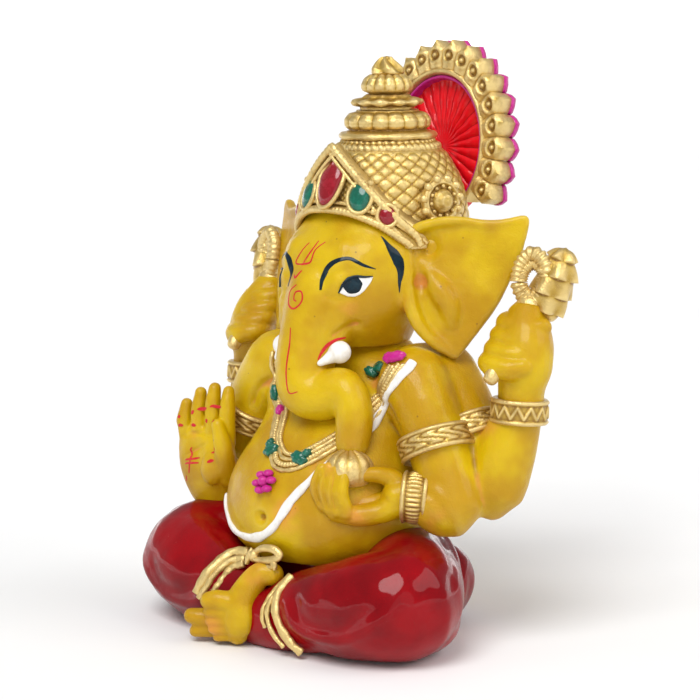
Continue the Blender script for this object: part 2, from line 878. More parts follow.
@dataclass(frozen=True)
class Enamel:
    """A brushed-on colour, thick enough to shine."""

    name: str
    body: tuple[float, float, float]
    thin: tuple[float, float, float]
    gloss: float = 0.7
    streak: float = 1.4

    def material(self) -> bpy.types.Material:
        """Builds the finish."""
        r = Recipe(self.name)
        brush = r.cloud(self.streak, 3.0, 0.6)
        colour = r.mix(brush.band(0.4, 0.75) * 0.7, self.body, self.thin)
        colour = r.mix(r.hollow().band(0.62, 1.0) * 0.6, colour, tuple(c * 0.25 for c in self.body))
        r.set(
            Base_Color=colour,
            Roughness=brush * 0.25 + (0.5 - 0.4 * self.gloss),
            Normal=r.bump(brush, 0.1),
            Coat_Weight=self.gloss,
            Coat_Roughness=0.08,
            Specular_IOR_Level=0.1,
        )
        return r.material


class Paints:
    """The idol's finishes, each made once."""

    def __init__(self) -> None:
        """Makes them all."""
        self.skin = ResinSkin().material()
        self.gold = GoldPaint().material()
        self.red = RedLacquer().material()
        self.white = Enamel("white_paint", (0.86, 0.85, 0.82), (0.72, 0.68, 0.58), 0.35).material()
        self.green = Enamel("green_enamel", (0.002, 0.10, 0.06), (0.004, 0.19, 0.12), 0.9).material()
        self.ruby = Enamel("ruby_enamel", (0.24, 0.001, 0.008), (0.36, 0.005, 0.02), 0.9).material()
        self.magenta = Enamel("magenta_enamel", (0.50, 0.012, 0.22), (0.62, 0.06, 0.32), 0.5).material()
        self.scarlet = Enamel("scarlet_enamel", (0.80, 0.004, 0.012), (0.66, 0.003, 0.01), 0.4).material()
        self.ink = Enamel("teal_ink", (0.0008, 0.010, 0.018), (0.002, 0.028, 0.045), 0.35).material()
        self.line = Enamel("red_line", (0.56, 0.012, 0.02), (0.62, 0.06, 0.04), 0.3).material()


# ---------------------------------------------------------------- the figure


@dataclass
class Seat:
    """The crossed legs in red cloth with their gold hems, the waist knot and the foot."""

    reach: float = 45.0
    waist: float = 17.0
    voxel: float = 0.5

    def leg(self, side: Side) -> list[tuple[float, ...]]:
        """The line of one leg from the hip round the knee to the ankle."""
        out = self.reach - 45
        return side.of(
            [
                (9, 6, 11.5, 9, 10),
                (17, -1, 13.2, 10.5, 11.6),
                (25 + out, -9.5, 13.6, 10.8, 12),
                (32.5 + out, -18, 12.6, 11.4, 12),
                (25.5 + out, -23, 11.2, 10.6, 11.2),
                (15, -25, 9.5, 8.8, 9.4),
                (7.5, -25.5, 8, 7, 8),
            ]
        )

    def legs(self, bench: Bench, paints: Paints) -> None:
        """Both legs and the seat between them, fused and then cut apart."""
        clay = Form()
        for side in Side:
            clay.limb(self.leg(side), ref=UP, sides=28)
            clay.ball((side.value * 27, -14, 7), (13, 12, 8))
            clay.ball((side.value * 13, 8, 9), (12, 11, 10))
        clay.limb(
            [(0, 0, 0.2, 19, 17), (0, 0, 9, 19.4, 17.4), (0, 0, self.waist, 19, 17)], sides=40, level=True,
            domed=False,
        )
        clay.limb([(-14, -27, 6, 5.4, 6), (0, -28.4, 6, 5.6, 6.6), (14, -27, 6, 5.4, 6)], ref=UP)
        lump = clay.fuse(self.voxel, 10)
        for side in Side:
            s = side.value
            lump.ridge(
                side.of([
                    (11, -31, 13.5), (14, -33.5, 8), (20, -34.5, 5.5), (28, -32, 6.5), (34, -28, 11),
                    (37, -23, 16),
                ]),
                1.5, 0.7,
            )
            lump.ridge(
                side.of([(13, -30, 15), (17, -32.5, 10.5), (23, -33, 9), (29, -31, 10.5), (33, -27, 14.5)]),
                1.6, -0.5,
            )
            lump.ridge(side.of([(9, -26, 17.5), (14, -25, 19.5), (21, -24, 21)]), 1.2, -0.4)
            lump.ridge(side.of([(26, -2, 22), (35, -9, 20), (42, -17, 15)]), 1.8, -0.5)
            lump.ridge(side.of([(20, 3, 22), (29, 0, 19), (36, -3, 13), (38, -5, 6)]), 1.6, 0.7)
            lump.ridge(side.of([(17, 10, 19), (24, 9, 14), (28, 6, 7)]), 1.5, -0.6)
            lump.push((s * 24, 12, 8), (5, 5, 8), -0.8)
        lump.ridge([(-10, 16.5, 15), (0, 18, 12), (10, 16.5, 15)], 1.4, 0.6)
        lump.ridge([(-14, 14, 9), (0, 17.8, 6), (14, 14, 9)], 1.3, -0.5)
        lump.lift(grain(lump.co, 6.0, 3) * 0.22 + grain(lump.co, 2.0, 4) * 0.05)
        lump.relax(2, 0.4)
        lump.co[:, 2] = np.maximum(lump.co[:, 2], 0.0)
        lump.keep_hollows(18, 0.35)
        scores = {
            "left_leg": limb_score(lump.co, self.leg(Side.LEFT)),
            "right_leg": limb_score(lump.co, self.leg(Side.RIGHT)) + 0.001,
            "seat_base": level_score(
                lump.co, [(0, 0, 0, 19, 17), (0, 0, 8, 19, 17), (0, 0, 17, 19, 17)],
            ) * 1.02,
        }
        lump.store()
        for name, mesh in lump.share_out(scores).items():
            bench.place(f"{name}_cloth", mesh, paints.red, "red_lacquer", name)

    def hems(self, bench: Bench, paints: Paints) -> None:
        """A pair of gold bands round each ankle."""
        paths = {
            "left_hem": (
                (
                    [
                        (9.6, -28.6, 16.6), (8.4, -31.2, 13.7), (8.5, -32.8, 10.4), (10.2, -33.4, 7),
                        (13, -33, 3.6), (15.6, -32, 1.4),
                    ],
                    1.0,
                ),
                ([(8.6, -29, 16), (6.7, -30.8, 13.6), (5.6, -33, 10.4), (5.7, -34, 8), (6.6, -34, 5.6)], 0.5),
                (
                    [
                        (9, -30.4, 14.6), (7.1, -32.6, 11.6), (7.0, -33.8, 8.6), (8.8, -34, 5),
                        (11.6, -33.4, 2.2),
                    ],
                    0.55,
                ),
            ),
            "right_hem": (
                (
                    [
                        (-6.2, -26.4, 18.4), (-10.4, -27.6, 18), (-12.4, -31.6, 15.2), (-13.8, -33.4, 12.3),
                        (-14.8, -34.4, 9.4),
                    ],
                    1.15,
                ),
                (
                    [
                        (-6, -27.6, 17.4), (-9.4, -29.4, 16.6), (-11.2, -32, 14), (-12.4, -33.8, 11),
                        (-13.4, -35, 8.6),
                    ],
                    0.8,
                ),
                ([(-5.8, -28.2, 16.6), (-8.6, -29.6, 15.2), (-9.8, -31.6, 12.6), (-10.8, -33.0, 10.2)], 0.9),
            ),
        }
        for name, bands in paths.items():
            form = Form()
            for path, size in bands:
                form.strand(
                    spline(path, 8),
                    90,
                    16,
                    lambda u, a, size=size: np.stack(
                        [
                            size * (1 + 0.1 * np.sin(19 * u) + 0.05 * np.sin(47 * u)),
                            0.62 * size + 0.1 + 0.06 * np.sin(31 * u),
                        ], axis=1
                    ),
                    facing=(0, -1, 0.3),
                )
            bench.place(f"{name}_bands", form.mesh(name), paints.gold, "gold_paint", name)

    def foot(self, bench: Bench, paints: Paints) -> None:
        """The foot that hangs over the seat's front, with its toes."""
        clay = Form()
        clay.limb([
            (3.2, -28.4, 15.6, 2.4), (0.9, -29.8, 15.4, 2.7), (-1, -31.6, 12.3, 3.1), (-2, -33, 8.9, 3.6),
            (-2.4, -33.4, 4.6, 3.3), (-2.8, -33.4, 2.6, 2.4),
        ])
        clay.ball((-1.8, -33.8, 6.4), (4.0, 2.8, 4.8), (0, 20, 0))
        toes = [
            ((-2.8, -34.4, 9.4), (-5.6, -36.2, 10.0), (-7.1, -37.4, 9.9), 2.3),
            ((-2.3, -34.5, 7.3), (-5.4, -36.4, 7.3), (-7.2, -37.4, 7.3), 1.5),
            ((-2.3, -34.4, 5.4), (-5.4, -36.4, 5.4), (-7.1, -37.3, 5.3), 1.35),
            ((-2.4, -34.2, 3.7), (-5.2, -36.2, 3.7), (-6.8, -37, 3.6), 1.25),
            ((-2.8, -33.8, 2.2), (-5, -35.5, 2.0), (-6.2, -36.2, 1.8), 1.15),
        ]
        for root, ball, tip, r in toes:
            clay.limb([(*root, r * 1.1), (*ball, r), (*tip, r * 0.86)])
        clay.limb([(-8.4, -34.4, 5.2, 2.2), (-10.7, -36.6, 5.4, 2.1), (-12.4, -37.8, 5.7, 1.8)])
        clay.limb([(-8.2, -34.4, 2.8, 1.8), (-10.4, -36.4, 2.6, 1.6), (-11.8, -37.4, 2.4, 1.4)])
        lump = clay.fuse(0.25, 4)
        lump.lift(grain(lump.co, 2.5, 8) * 0.1)
        lump.co[:, 2] = np.maximum(lump.co[:, 2], 0.0)
        lump.keep_hollows(10, 0.2)
        bench.place("right_foot_skin", lump.store(), paints.skin, "skin_resin", "right_foot")

    def knot(self, bench: Bench, paints: Paints) -> None:
        """The sash ends and loops at the waist."""
        form = Form()

        def ribbon(path: Stations, wide: float, tall: float) -> None:
            """One ribbon of the sash."""
            form.strand(
                spline(path, 8),
                70,
                12,
                lambda u, a: np.stack(
                    [wide * np.sin(math.pi * np.clip(u, 0.04, 0.96)) ** 0.35, tall + 0 * u], axis=1,
                ),
                facing=(0, -1, 0.6),
            )

        ribbon(
            [
                (-2.6, -28, 18.6), (-1, -29, 20), (1.6, -29.4, 21.2), (4.6, -29.2, 21.4), (6.2, -29, 20.2),
                (4.4, -29.6, 19.2), (1, -29.8, 18.6), (-2, -29.4, 18.2),
            ],
            0.9, 0.7,
        )
        ribbon([(4.4, -29.4, 19.4), (5.2, -29.8, 18.2), (5.4, -29.6, 17.2)], 0.8, 0.6)
        ribbon([(-2.6, -28.6, 20.4), (-2.9, -29.6, 18.8), (-3.2, -29.8, 17)], 0.7, 0.6)
        ribbon([(-1, -28.4, 18.4), (2.4, -29.6, 17.6), (5.6, -29.6, 17.6)], 0.6, 0.5)
        form.ball((-1.6, -29.2, 19.0), (1.3, 1.2, 1.4))
        bench.place("waist_knot_sash", form.mesh("waist_knot"), paints.gold, "gold_paint", "waist_knot")

    def build(self, bench: Bench, paints: Paints) -> None:
        """Builds the whole seat."""
        self.legs(bench, paints)
        self.hems(bench, paints)
        self.foot(bench, paints)
        self.knot(bench, paints)


@dataclass
class Arm:
    """One arm's joints and its radii at the shoulder and the wrist."""

    name: str
    shoulder: tuple[float, float, float]
    elbow: tuple[float, float, float]
    wrist: tuple[float, float, float]
    wrist_radius: float = 4.8
    radius: float = 7.2

    def stations(self) -> list[tuple[float, ...]]:
        """The arm's line, with a swelling above and below the elbow."""
        s, e, w = (np.array(p) for p in (self.shoulder, self.elbow, self.wrist))
        out = unit(np.array([math.copysign(1, e[0]), 0, 0.6]))
        r = self.radius
        return [
            (*s, r + 0.6),
            (*(s + (e - s) * 0.33 + out * 1.2), r),
            (*(s + (e - s) * 0.66 + out * 0.9), r - 0.7),
            (*e, r - 0.8),
            (*(e + (w - e) * 0.5), r - 0.9),
            (*w, self.wrist_radius),
        ]

    def part_way(self, share: float) -> Array:
        """A point of the upper arm."""
        s, e = np.array(self.shoulder), np.array(self.elbow)
        return s + (e - s) * share


ARMS = [
    Arm("left_front_arm", (20.5, -2.5, 55.5), (34.3, -5.3, 31.2), (27.6, -10.8, 32.8), 4.2),
    Arm("left_rear_arm", (20.5, 6.5, 55.5), (38, 3, 33.4), (43, 6, 51.2)),
    Arm("right_front_arm", (-20.5, -2.5, 55.5), (-34.3, -4, 31.2), (-30.5, -11.5, 29.5), 4.2),
    Arm("right_rear_arm", (-20.5, 6.5, 55.5), (-36, 4, 33.4), (-39.8, 6.9, 51)),
]


@dataclass
class Trunk:
    """Belly, chest and the four arms as one skin, cut apart at the shoulders."""

    voxel: float = 0.45
    rings: list[tuple[float, ...]] = field(
        default_factory=lambda: [
            (0, -5, 17, 21, 19),
            (0, -6.5, 22, 24.2, 21.2),
            (0, -7, 28.5, 25, 21.5),
            (0, -6, 35, 23.4, 20.5),
            (0, -4, 42, 20.5, 17.5),
            (0, -1, 48.5, 20, 13.5),
            (0, 1.5, 54.5, 20.5, 11.5),
            (0, 3, 59, 17, 10.5),
            (0, 3.5, 62, 11, 9),
        ]
    )

    def build(self, bench: Bench, paints: Paints) -> None:
        """Fuses, models and cuts the lump."""
        clay = Form()
        clay.limb(self.rings, sides=44, level=True, domed=False)
        clay.limb([(0, 3.5, 58, 11, 9), (0, 3, 66, 11, 9.5)], level=True, domed=False)
        for side in Side:
            s = side.value
            clay.ball((s * 10, -6.0, 48.5), (9.0, 6.6, 6.8))
            clay.ball((s * 18, 3, 56), (9, 8, 7))
        for arm in ARMS:
            clay.limb(arm.stations(), ref=(0, 1, 0.1), sides=24)
        lump = clay.fuse(self.voxel, 12)
        lump.push((0, -28.4, 27.5), (2.2, 3, 2.0), -1.5)
        lump.push((0, -27, 27.5), (7, 5, 6), 0.35)
        lump.ridge(
            [(-16, -20, 41.5), (-8, -24, 40.6), (0, -22, 41), (8, -24, 40.6), (16, -20, 41.5)], 1.5, -0.35,
        )
        for side in Side:
            lump.ridge(side.of([(15, -9, 54), (20, -10.5, 50), (22, -11.5, 44)]), 1.1, -0.6)
            lump.ridge(side.of([(31, -12, 36), (35.5, -11.6, 33), (37, -9, 28)]), 1.2, -0.35)
        lump.lift(grain(lump.co, 7.0, 11) * 0.22 + grain(lump.co, 2.2, 12) * 0.05)
        lump.keep_hollows(20, 0.35)
        scores = {"torso": level_score(lump.co, self.rings + [(0, 3.2, 70, 11, 9)])}
        for arm in ARMS:
            scores[arm.name] = limb_score(lump.co, arm.stations()) + 0.06
        self.surface = Surface(lump.store())
        for name, mesh in lump.share_out(scores).items():
            bench.place(f"{name}_skin", mesh, paints.skin, "skin_resin", name)


@dataclass
class Hands:
    """The four hands, each its own casting, and what they hold."""

    voxel: float = 0.26

    def surfaced(self, lump: Skin, seed: int) -> bpy.types.Mesh:
        """Roughens a hand a little and notes where its creases are."""
        lump.lift(grain(lump.co, 2.4, seed) * 0.1)
        lump.keep_hollows(12, 0.25)
        return lump.store()

    def bring(self, mesh: bpy.types.Mesh, side: Side, wrist: Sequence[float]) -> None:
        """Takes what was drawn about a wrist to its side of the idol."""
        mesh.transform(Matrix.Translation(wrist) @ Matrix.Diagonal((side.value, 1, 1, 1)))
        if side is Side.RIGHT:
            mesh.flip_normals()

    def blessing(self, bench: Bench, paints: Paints) -> None:
        """The right front hand, raised flat."""
        place = Matrix.Translation((-31.2, -18, 0)) @ Euler((
            math.radians(-4), 0, math.radians(9),
        )).to_matrix().to_4x4()
        clay = Form()
        clay.limb([
            (0.5, 4, 26, 6, 4.6), (0, 2.4, 29, 7.2, 4.2), (0, 0.8, 33, 8.0, 3.4), (0, 0, 38, 7.8, 2.6),
            (0, 0, 40, 7.2, 2.0),
        ])
        tops = (46.2, 49.0, 50.4, 50.0)
        for k, top in enumerate(tops):
            x = -6.1 + 4.1 * k
            clay.limb(
                [
                    (x * 0.94, 0.2, 38.5, 1.9), (x, -0.4, 41.6, 1.84), (x * 1.01, -0.6, top - 3.6, 1.8),
                    (x * 0.98, 0.0, top, 1.4),
                ]
            )
        clay.limb([(5.6, 0.6, 31, 2.8), (6.9, -1.8, 35.4, 2.3), (6.6, -2.7, 39, 2.0), (5.6, -2.9, 42.6, 1.55)])
        clay.ball((3.8, -1.8, 33), (3.4, 2.2, 4.2), (0, 20, 0))
        lump = clay.fuse(self.voxel, 3)
        lump.push((-1.4, -2.6, 36.5), (3.6, 3, 4.6), -0.7)
        for low, high in (((-6, -2.5, 33.8), (2.6, -3, 38.6)), ((-6.4, -2.4, 38.8), (1.6, -3, 41))):
            lump.ridge([low, tuple((a + b) / 2 for a, b in zip(low, high)), high], 0.5, -0.28)
        mesh = self.surfaced(lump, 21)
        mesh.transform(place)
        self.palm, self.palm_place = Surface(mesh), place
        bench.place("blessing_hand_skin", mesh, paints.skin, "skin_resin", "blessing_hand")

    def sweet(self, bench: Bench, paints: Paints) -> None:
        """The left front hand, cupped round the sweet."""
        clay = Form()
        clay.limb([(27, -11.4, 33.2, 3.9), (25.6, -13, 33, 3.6)])
        clay.limb([
            (25.6, -13.6, 31.6, 3.0), (23.4, -16.8, 29.8, 2.4), (20, -20.2, 29.4, 2.3), (16.6, -22.6, 30.0, 2.0),
        ])
        clay.limb([(24.8, -11.4, 31.4, 3.2), (20.4, -14.8, 30.8, 3.0), (16, -18.6, 31.4, 2.6)])
        columns = [
            ((14.4, -23.6, 31.4), (12.9, -24.2, 35.2), (13.4, -23.2, 39.0), 1.5),
            ((16.2, -23.6, 30.8), (15.0, -24.0, 35.0), (15.1, -22.6, 39.4), 1.38),
            ((17.9, -23.1, 30.4), (16.8, -23.5, 35.0), (16.8, -22.0, 39.2), 1.38),
            ((19.6, -22.2, 30.2), (18.8, -22.8, 34.6), (18.3, -21.2, 38.6), 1.5),
        ]
        for root, bend, tip, r in columns:
            clay.limb([(*root, r * 1.1), (*bend, r), (*tip, r * 0.85)])
        clay.limb([
            (25.8, -12.6, 35, 2.1), (24.4, -13, 36.6, 2.0), (22, -15.2, 37.6, 1.8), (19.8, -18.2, 37.7, 1.35),
        ])
        lump = clay.fuse(self.voxel, 3)
        for (low, mid, top, _), (low_b, mid_b, top_b, _) in zip(columns, columns[1:]):
            pairs = ((low, low_b), (mid, mid_b), (top, top_b))
            groove = [tuple((np.array(a) + np.array(b)) / 2 + (-0.5, -1.1, 0)) for a, b in pairs]
            lump.ridge(groove, 0.5, -0.5)
        bench.place("sweet_hand_skin", self.surfaced(lump, 22), paints.skin, "skin_resin", "sweet_hand")

    def modak(self, bench: Bench, paints: Paints) -> None:
        """The pleated sweet."""
        a, b = Vector((16.2, -18.0, 37.0)), Vector((15.8, -17.4, 44))
        turn = along(b - a)
        profile = [(0, -2.4), (3.4, -2), (4.7, -0.6), (5.1, 1.2), (4.6, 3.0), (3.4, 4.3), (1.6, 5.2), (0, 5.6)]

        def pleats(angle: Array, share: Array) -> Array:
            """Soft pleats that meet at the top."""
            swell = 0.24 * np.abs(np.sin(5.5 * angle)) + 0.16 * np.sin(3 * angle + 7 * share)
            return swell * ease((share - 0.2) * 3)

        form = Form().turned(profile, 120, 40, pleats, Matrix.Translation(a) @ turn, smooth=True)
        bench.place("modak_sweet", form.mesh("modak"), paints.gold, "gold_paint", "modak")

    def fist(self, bench: Bench, paints: Paints, side: Side, wrist: Sequence[float]) -> None:
        """A rear hand closed round a handle."""
        clay = Form()
        clay.limb([
            (0, 0.2, 1, 4.9, 4.7), (0, 0.4, 4, 5.0, 4.8), (0.4, 1, 9, 6.0, 5.8), (-0.6, 2.4, 14, 6.0, 5.6),
            (-1.6, 4.2, 18, 4.6, 4.4),
        ])
        for k in range(4):
            y, z = 1.9 * k, 2.55 * k
            clay.limb(
                [
                    (3.4, -2.6 + y, 9.2 + z, 2.0),
                    (0.6, -5.0 + y, 9.0 + z, 2.05),
                    (-3.6, -5.6 + y, 9.4 + z, 2.05),
                    (-6.2, -2.8 + y, 10.0 + z, 1.9),
                    (-5.0, 0.6 + y, 10.4 + z, 1.5),
                ]
            )
        clay.limb([(3.6, -0.6, 9, 2.2), (1.2, -4.6, 8.4, 2.0), (-2.2, -6.2, 8.6, 1.7), (-4.6, -5.6, 9.2, 1.4)])
        lump = clay.fuse(self.voxel, 3)
        mesh = self.surfaced(lump, 23)
        name = f"{side.word}_fist"
        self.bring(mesh, side, wrist)
        bench.place(f"{name}_skin", mesh, paints.skin, "skin_resin", name)

    def emblem(self, bench: Bench, paints: Paints, side: Side, wrist: Sequence[float], name: str) -> None:
        """The looped head, the bud above it and the end of the handle."""
        form = Form()
        ringed = 0.12 if side is Side.LEFT else 0.04
        for turn_in, thick in ((1.0, 1.55), (0.6, 1.15)):
            ring = [(-2.4 - 2.6 * turn_in, 3.4, 24.4), (
                -2.4 - 2.2 * turn_in, 4.2, 24.6 + 3.6 * turn_in,
            ), (-2.2, 5.2, 24.8 + 5.6 * turn_in),
                    (
                        -2.0 + 2.7 * turn_in, 5.9, 24.6 + 3.0 * turn_in,
                    ), (
                        -2.0 + 2.4 * turn_in, 5.4, 24.4 - 1.4 * turn_in,
                    ), (-1.8, 4.4, 24.2 - 4.2 * turn_in), (-2.4 - 1.6 * turn_in, 3.8, 24.2 - 2.6 * turn_in)]
            loop = spline([(x + 1.3, y + 0.4, z + 1.4) for x, y, z in ring], 10, closed=True)
            form.strand(
                np.vstack([loop, loop[:1]]),
                150,
                16,
                lambda u, a, thick=thick: np.full((len(u), 2), thick) * (1 + ringed * np.sin(150 * u))[:, None],
                facing=(0.4, -1, 0.2),
            )
        form.ball((-1.4, 4.8, 20.6), (3.2, 2.8, 2.8))
        bud = [(0, -3.4), (2.4, -2.8), (3.6, 0), (3.9, 3.4), (3.7, 6.6), (2.9, 9.2), (1.6, 11.4), (0, 12.4)]
        turn = along((0.24, 0.24, 1))

        def petals(angle: Array, share: Array) -> Array:
            """Overlapping petals up the bud."""
            row = share * 5
            tip = 0.5 + 0.5 * np.cos(5 * angle + math.pi * np.floor(row))
            return 1.1 * tip * (1 - row % 1) * ease(8 * (1 - share)) * ease(6 * share)

        form.turned(bud, 90, 90, petals, Matrix.Translation((1.2, 7.4, 21.2)) @ turn, smooth=True)
        end = Matrix.Translation((-1.6, -7.2, 7.2)) @ along((0.2, 0.8, 1))
        form.turned(
            [(0, -1.6), (1.2, -1.2), (1.6, 0), (1.5, 1.6), (1.0, 2.4), (1.2, 4), (0, 4.4)], 36, 24, None, end,
            smooth=True,
        )
        mesh = form.mesh(name)
        self.bring(mesh, side, wrist)
        bench.place(f"{name}_gold", mesh, paints.gold, "gold_paint", name)

    def build(self, bench: Bench, paints: Paints) -> None:
        """Builds the hands and what they hold."""
        self.blessing(bench, paints)
        self.sweet(bench, paints)
        self.modak(bench, paints)
        for side, arm, name in ((Side.LEFT, ARMS[1], "goad"), (Side.RIGHT, ARMS[3], "noose")):
            self.fist(bench, paints, side, arm.wrist)
            self.emblem(bench, paints, side, arm.wrist, name)


@dataclass
class Head:
    """The head with its trunk and ears as one skin, and the tusks."""

    voxel: float = 0.36
    ear_span: float = 24.0
    rings: list[tuple[float, ...]] = field(
        default_factory=lambda: [
            (0, 1.5, 62, 12, 11),
            (0, 0.5, 66, 14, 13.5),
            (0, 0.2, 71, 16.4, 14.2),
            (0, 0.8, 77, 17, 14.4),
            (0, 2.4, 82.6, 16.6, 15.1),
            (0, 4.8, 87, 15.2, 13.4),
            (0, 7.4, 91.5, 13.6, 12.2),
            (0, 10.5, 96, 11, 9.5),
        ]
    )
    trunk: list[tuple[float, ...]] = field(
        default_factory=lambda: [
            (0, -5, 80, 7),
            (0, -7.2, 74.5, 8.5),
            (0, -10.6, 67.5, 7.7),
            (0, -14, 60.5, 6.5),
            (1.4, -16.0, 54.2, 6.1),
            (5.8, -15.0, 52.6, 5.5),
            (10.4, -13.8, 54.2, 4.7),
            (13.4, -13.8, 52.2, 4.2),
            (14.6, -14.4, 47.6, 4.0),
            (15.0, -15.4, 43.6, 3.7),
        ]
    )
    outline: list[tuple[float, float]] = field(
        default_factory=lambda: [
            (-0.04, 0.44), (0.12, 0.54), (0.38, 0.58), (0.66, 0.54), (1, 0.61), (0.98, 0.36), (0.87, 0.04),
            (0.7, -0.28), (0.5, -0.56), (0.38, -0.68), (0.24, -0.58), (0.04, -0.4), (-0.06, -0.2), (-0.06, 0.2),
        ]
    )

    def ear_place(self, side: Side) -> Matrix:
        """Where an ear's own flat drawing goes: across, up, and out of the ear's face."""
        flat = Matrix.Translation((17.2, 1.8, 76)) @ Euler((
            math.radians(78), 0, math.radians(30),
        )).to_matrix().to_4x4()
        return Matrix.Diagonal((side.value, 1, 1, 1)) @ flat

    def ear(self, clay: Form, side: Side) -> None:
        """Adds an ear: a thin sheet with a rolled rim, a deep hollow and a lobe."""
        place = self.ear_place(side)
        span = self.ear_span
        edge = spline([(u * span, v * span, 0) for u, v in self.outline], 4, closed=True)

        def at(rows: Stations) -> list[tuple[float, ...]]:
            """Ear drawing positions, with their radii, taken to the head."""
            return [(*(place @ Vector((u * span, v * span, out))), *rest) for u, v, out, *rest in rows]

        clay.slab([(x, y) for x, y, _ in edge], 1.9, place)
        clay.limb(at([
            (-0.1, 0.30, 0.8, 1.3), (-0.05, 0.42, 1.2, 1.3), (0.06, 0.5, 1.3, 1.3), (0.24, 0.54, 1.3, 1.25),
            (0.44, 0.55, 1.0, 1.1), (0.68, 0.52, 0.7, 1.0), (0.93, 0.57, 0.3, 0.8),
        ]))
        clay.limb(at([
            (0.95, 0.55, 0.1, 0.7), (0.94, 0.34, 0.0, 0.8), (0.83, 0.04, 0.0, 0.8), (0.66, -0.27, 0.0, 0.8),
            (0.47, -0.53, 0.0, 0.8), (0.37, -0.63, 0.0, 0.8),
        ]))
        clay.limb(at([
            (-0.08, 0.34, 0.8, 1.4), (-0.05, 0.1, 1.3, 1.5), (-0.03, -0.16, 1.6, 1.6), (0.06, -0.38, 1.5, 1.6),
            (0.22, -0.54, 1.0, 1.4), (0.35, -0.62, 0.4, 1.1),
        ]))
        clay.limb(at([
            (0.1, 0.12, 0.2, 1.2), (0.17, 0.02, 0.4, 2.0), (0.25, -0.08, 0.6, 2.6), (0.33, -0.2, 0.5, 2.5),
            (0.36, -0.36, 0.2, 1.8),
        ]))

    def build(self, bench: Bench, paints: Paints) -> None:
        """Fuses, models and cuts the lump, and adds the tusks."""
        clay = Form()
        clay.limb(self.rings, sides=44, level=True, domed=False)
        clay.limb(self.trunk, ref=(0.3, 1, 0.2), sides=28, per=6)
        for side in Side:
            s = side.value
            clay.limb([
                (s * 6.4, -7.6, 82, 4), (s * 6.0, -9.0, 75, 4.8), (s * 5.4, -11.0, 67, 4.4),
                (s * 3.6, -13.0, 61, 3.4),
            ])
            self.ear(clay, side)
        lump = clay.fuse(self.voxel, 14)
        for side in Side:
            s = side.value
            lump.push((s * 9.5, -13, 77.3), (3.6, 4, 2.4), 0.35)
            lump.ridge(side.of([(4.6, -14, 78.2), (8, -14.4, 81), (12.5, -12, 81.4), (16, -8, 78.6)]), 1.2, 0.4)
            lump.ridge(side.of([(5, -14.6, 74.8), (9, -14, 73.4), (13.5, -11, 74.2)]), 1.0, -0.35)
            lump.ridge(side.of([(8, -15.5, 64.6), (11, -13, 66.4), (13.6, -9.6, 66.8)]), 0.8, -0.5)
            place = self.ear_place(side)
            span = self.ear_span
            lump.push(place @ Vector((0.12 * span, 0.32 * span, 1)), (3.6, 3.8, 4.0), -1.5)
            lump.push(place @ Vector((0.08 * span, 0.0, 1)), (2.4, 2.8, 3.0), -0.9)
            lump.push(place @ Vector((0.55 * span, 0.16 * span, 1)), (6, 7, 7), -0.5)
        lump.lift(grain(lump.co, 6.0, 31) * 0.2 + grain(lump.co, 2.0, 32) * 0.05)
        lump.keep_hollows(18, 0.3)
        scores = {
            "head": level_score(lump.co, self.rings),
            "trunk": limb_score(lump.co, self.trunk[3:]) + 0.12,
        }
        for side in Side:
            to_ear = np.array(self.ear_place(side).inverted())
            own = lump.co @ to_ear[:3, :3].T + to_ear[:3, 3]
            outside = np.maximum(0, 1.6 - own[:, 0]) * 0.35 + np.maximum(0, np.abs(own[:, 2]) - 4) * 0.3
            scores[f"{side.word}_ear"] = 0.6 + outside + (lump.co[:, 0] * side.value < 12) * 9.0
        self.surface = Surface(lump.store())
        for name, mesh in lump.share_out(scores).items():
            bench.place(f"{name}_skin", mesh, paints.skin, "skin_resin", name)
        self.tusks(bench, paints)

    def tusks(self, bench: Bench, paints: Paints) -> None:
        """The short white tusks: a round root and a small point."""
        for side in Side:
            clay = Form()
            clay.ball(side.of([(8.5, -12.5, 61.9)])[0], (2.6, 2.5, 2.5))
            clay.limb(side.of([(8, -12.8, 61.6, 2.0), (7.3, -14.8, 60.6, 1.2), (6.6, -16.5, 59.8, 0.7)]))
            lump = clay.fuse(0.22, 4)
            lump.keep_hollows(8, 0.2)
            bench.place(
                f"{side.word}_tusk_white", lump.store(), paints.white, "white_paint", f"{side.word}_tusk",
            )


# ---------------------------------------------------------------- crown and halo


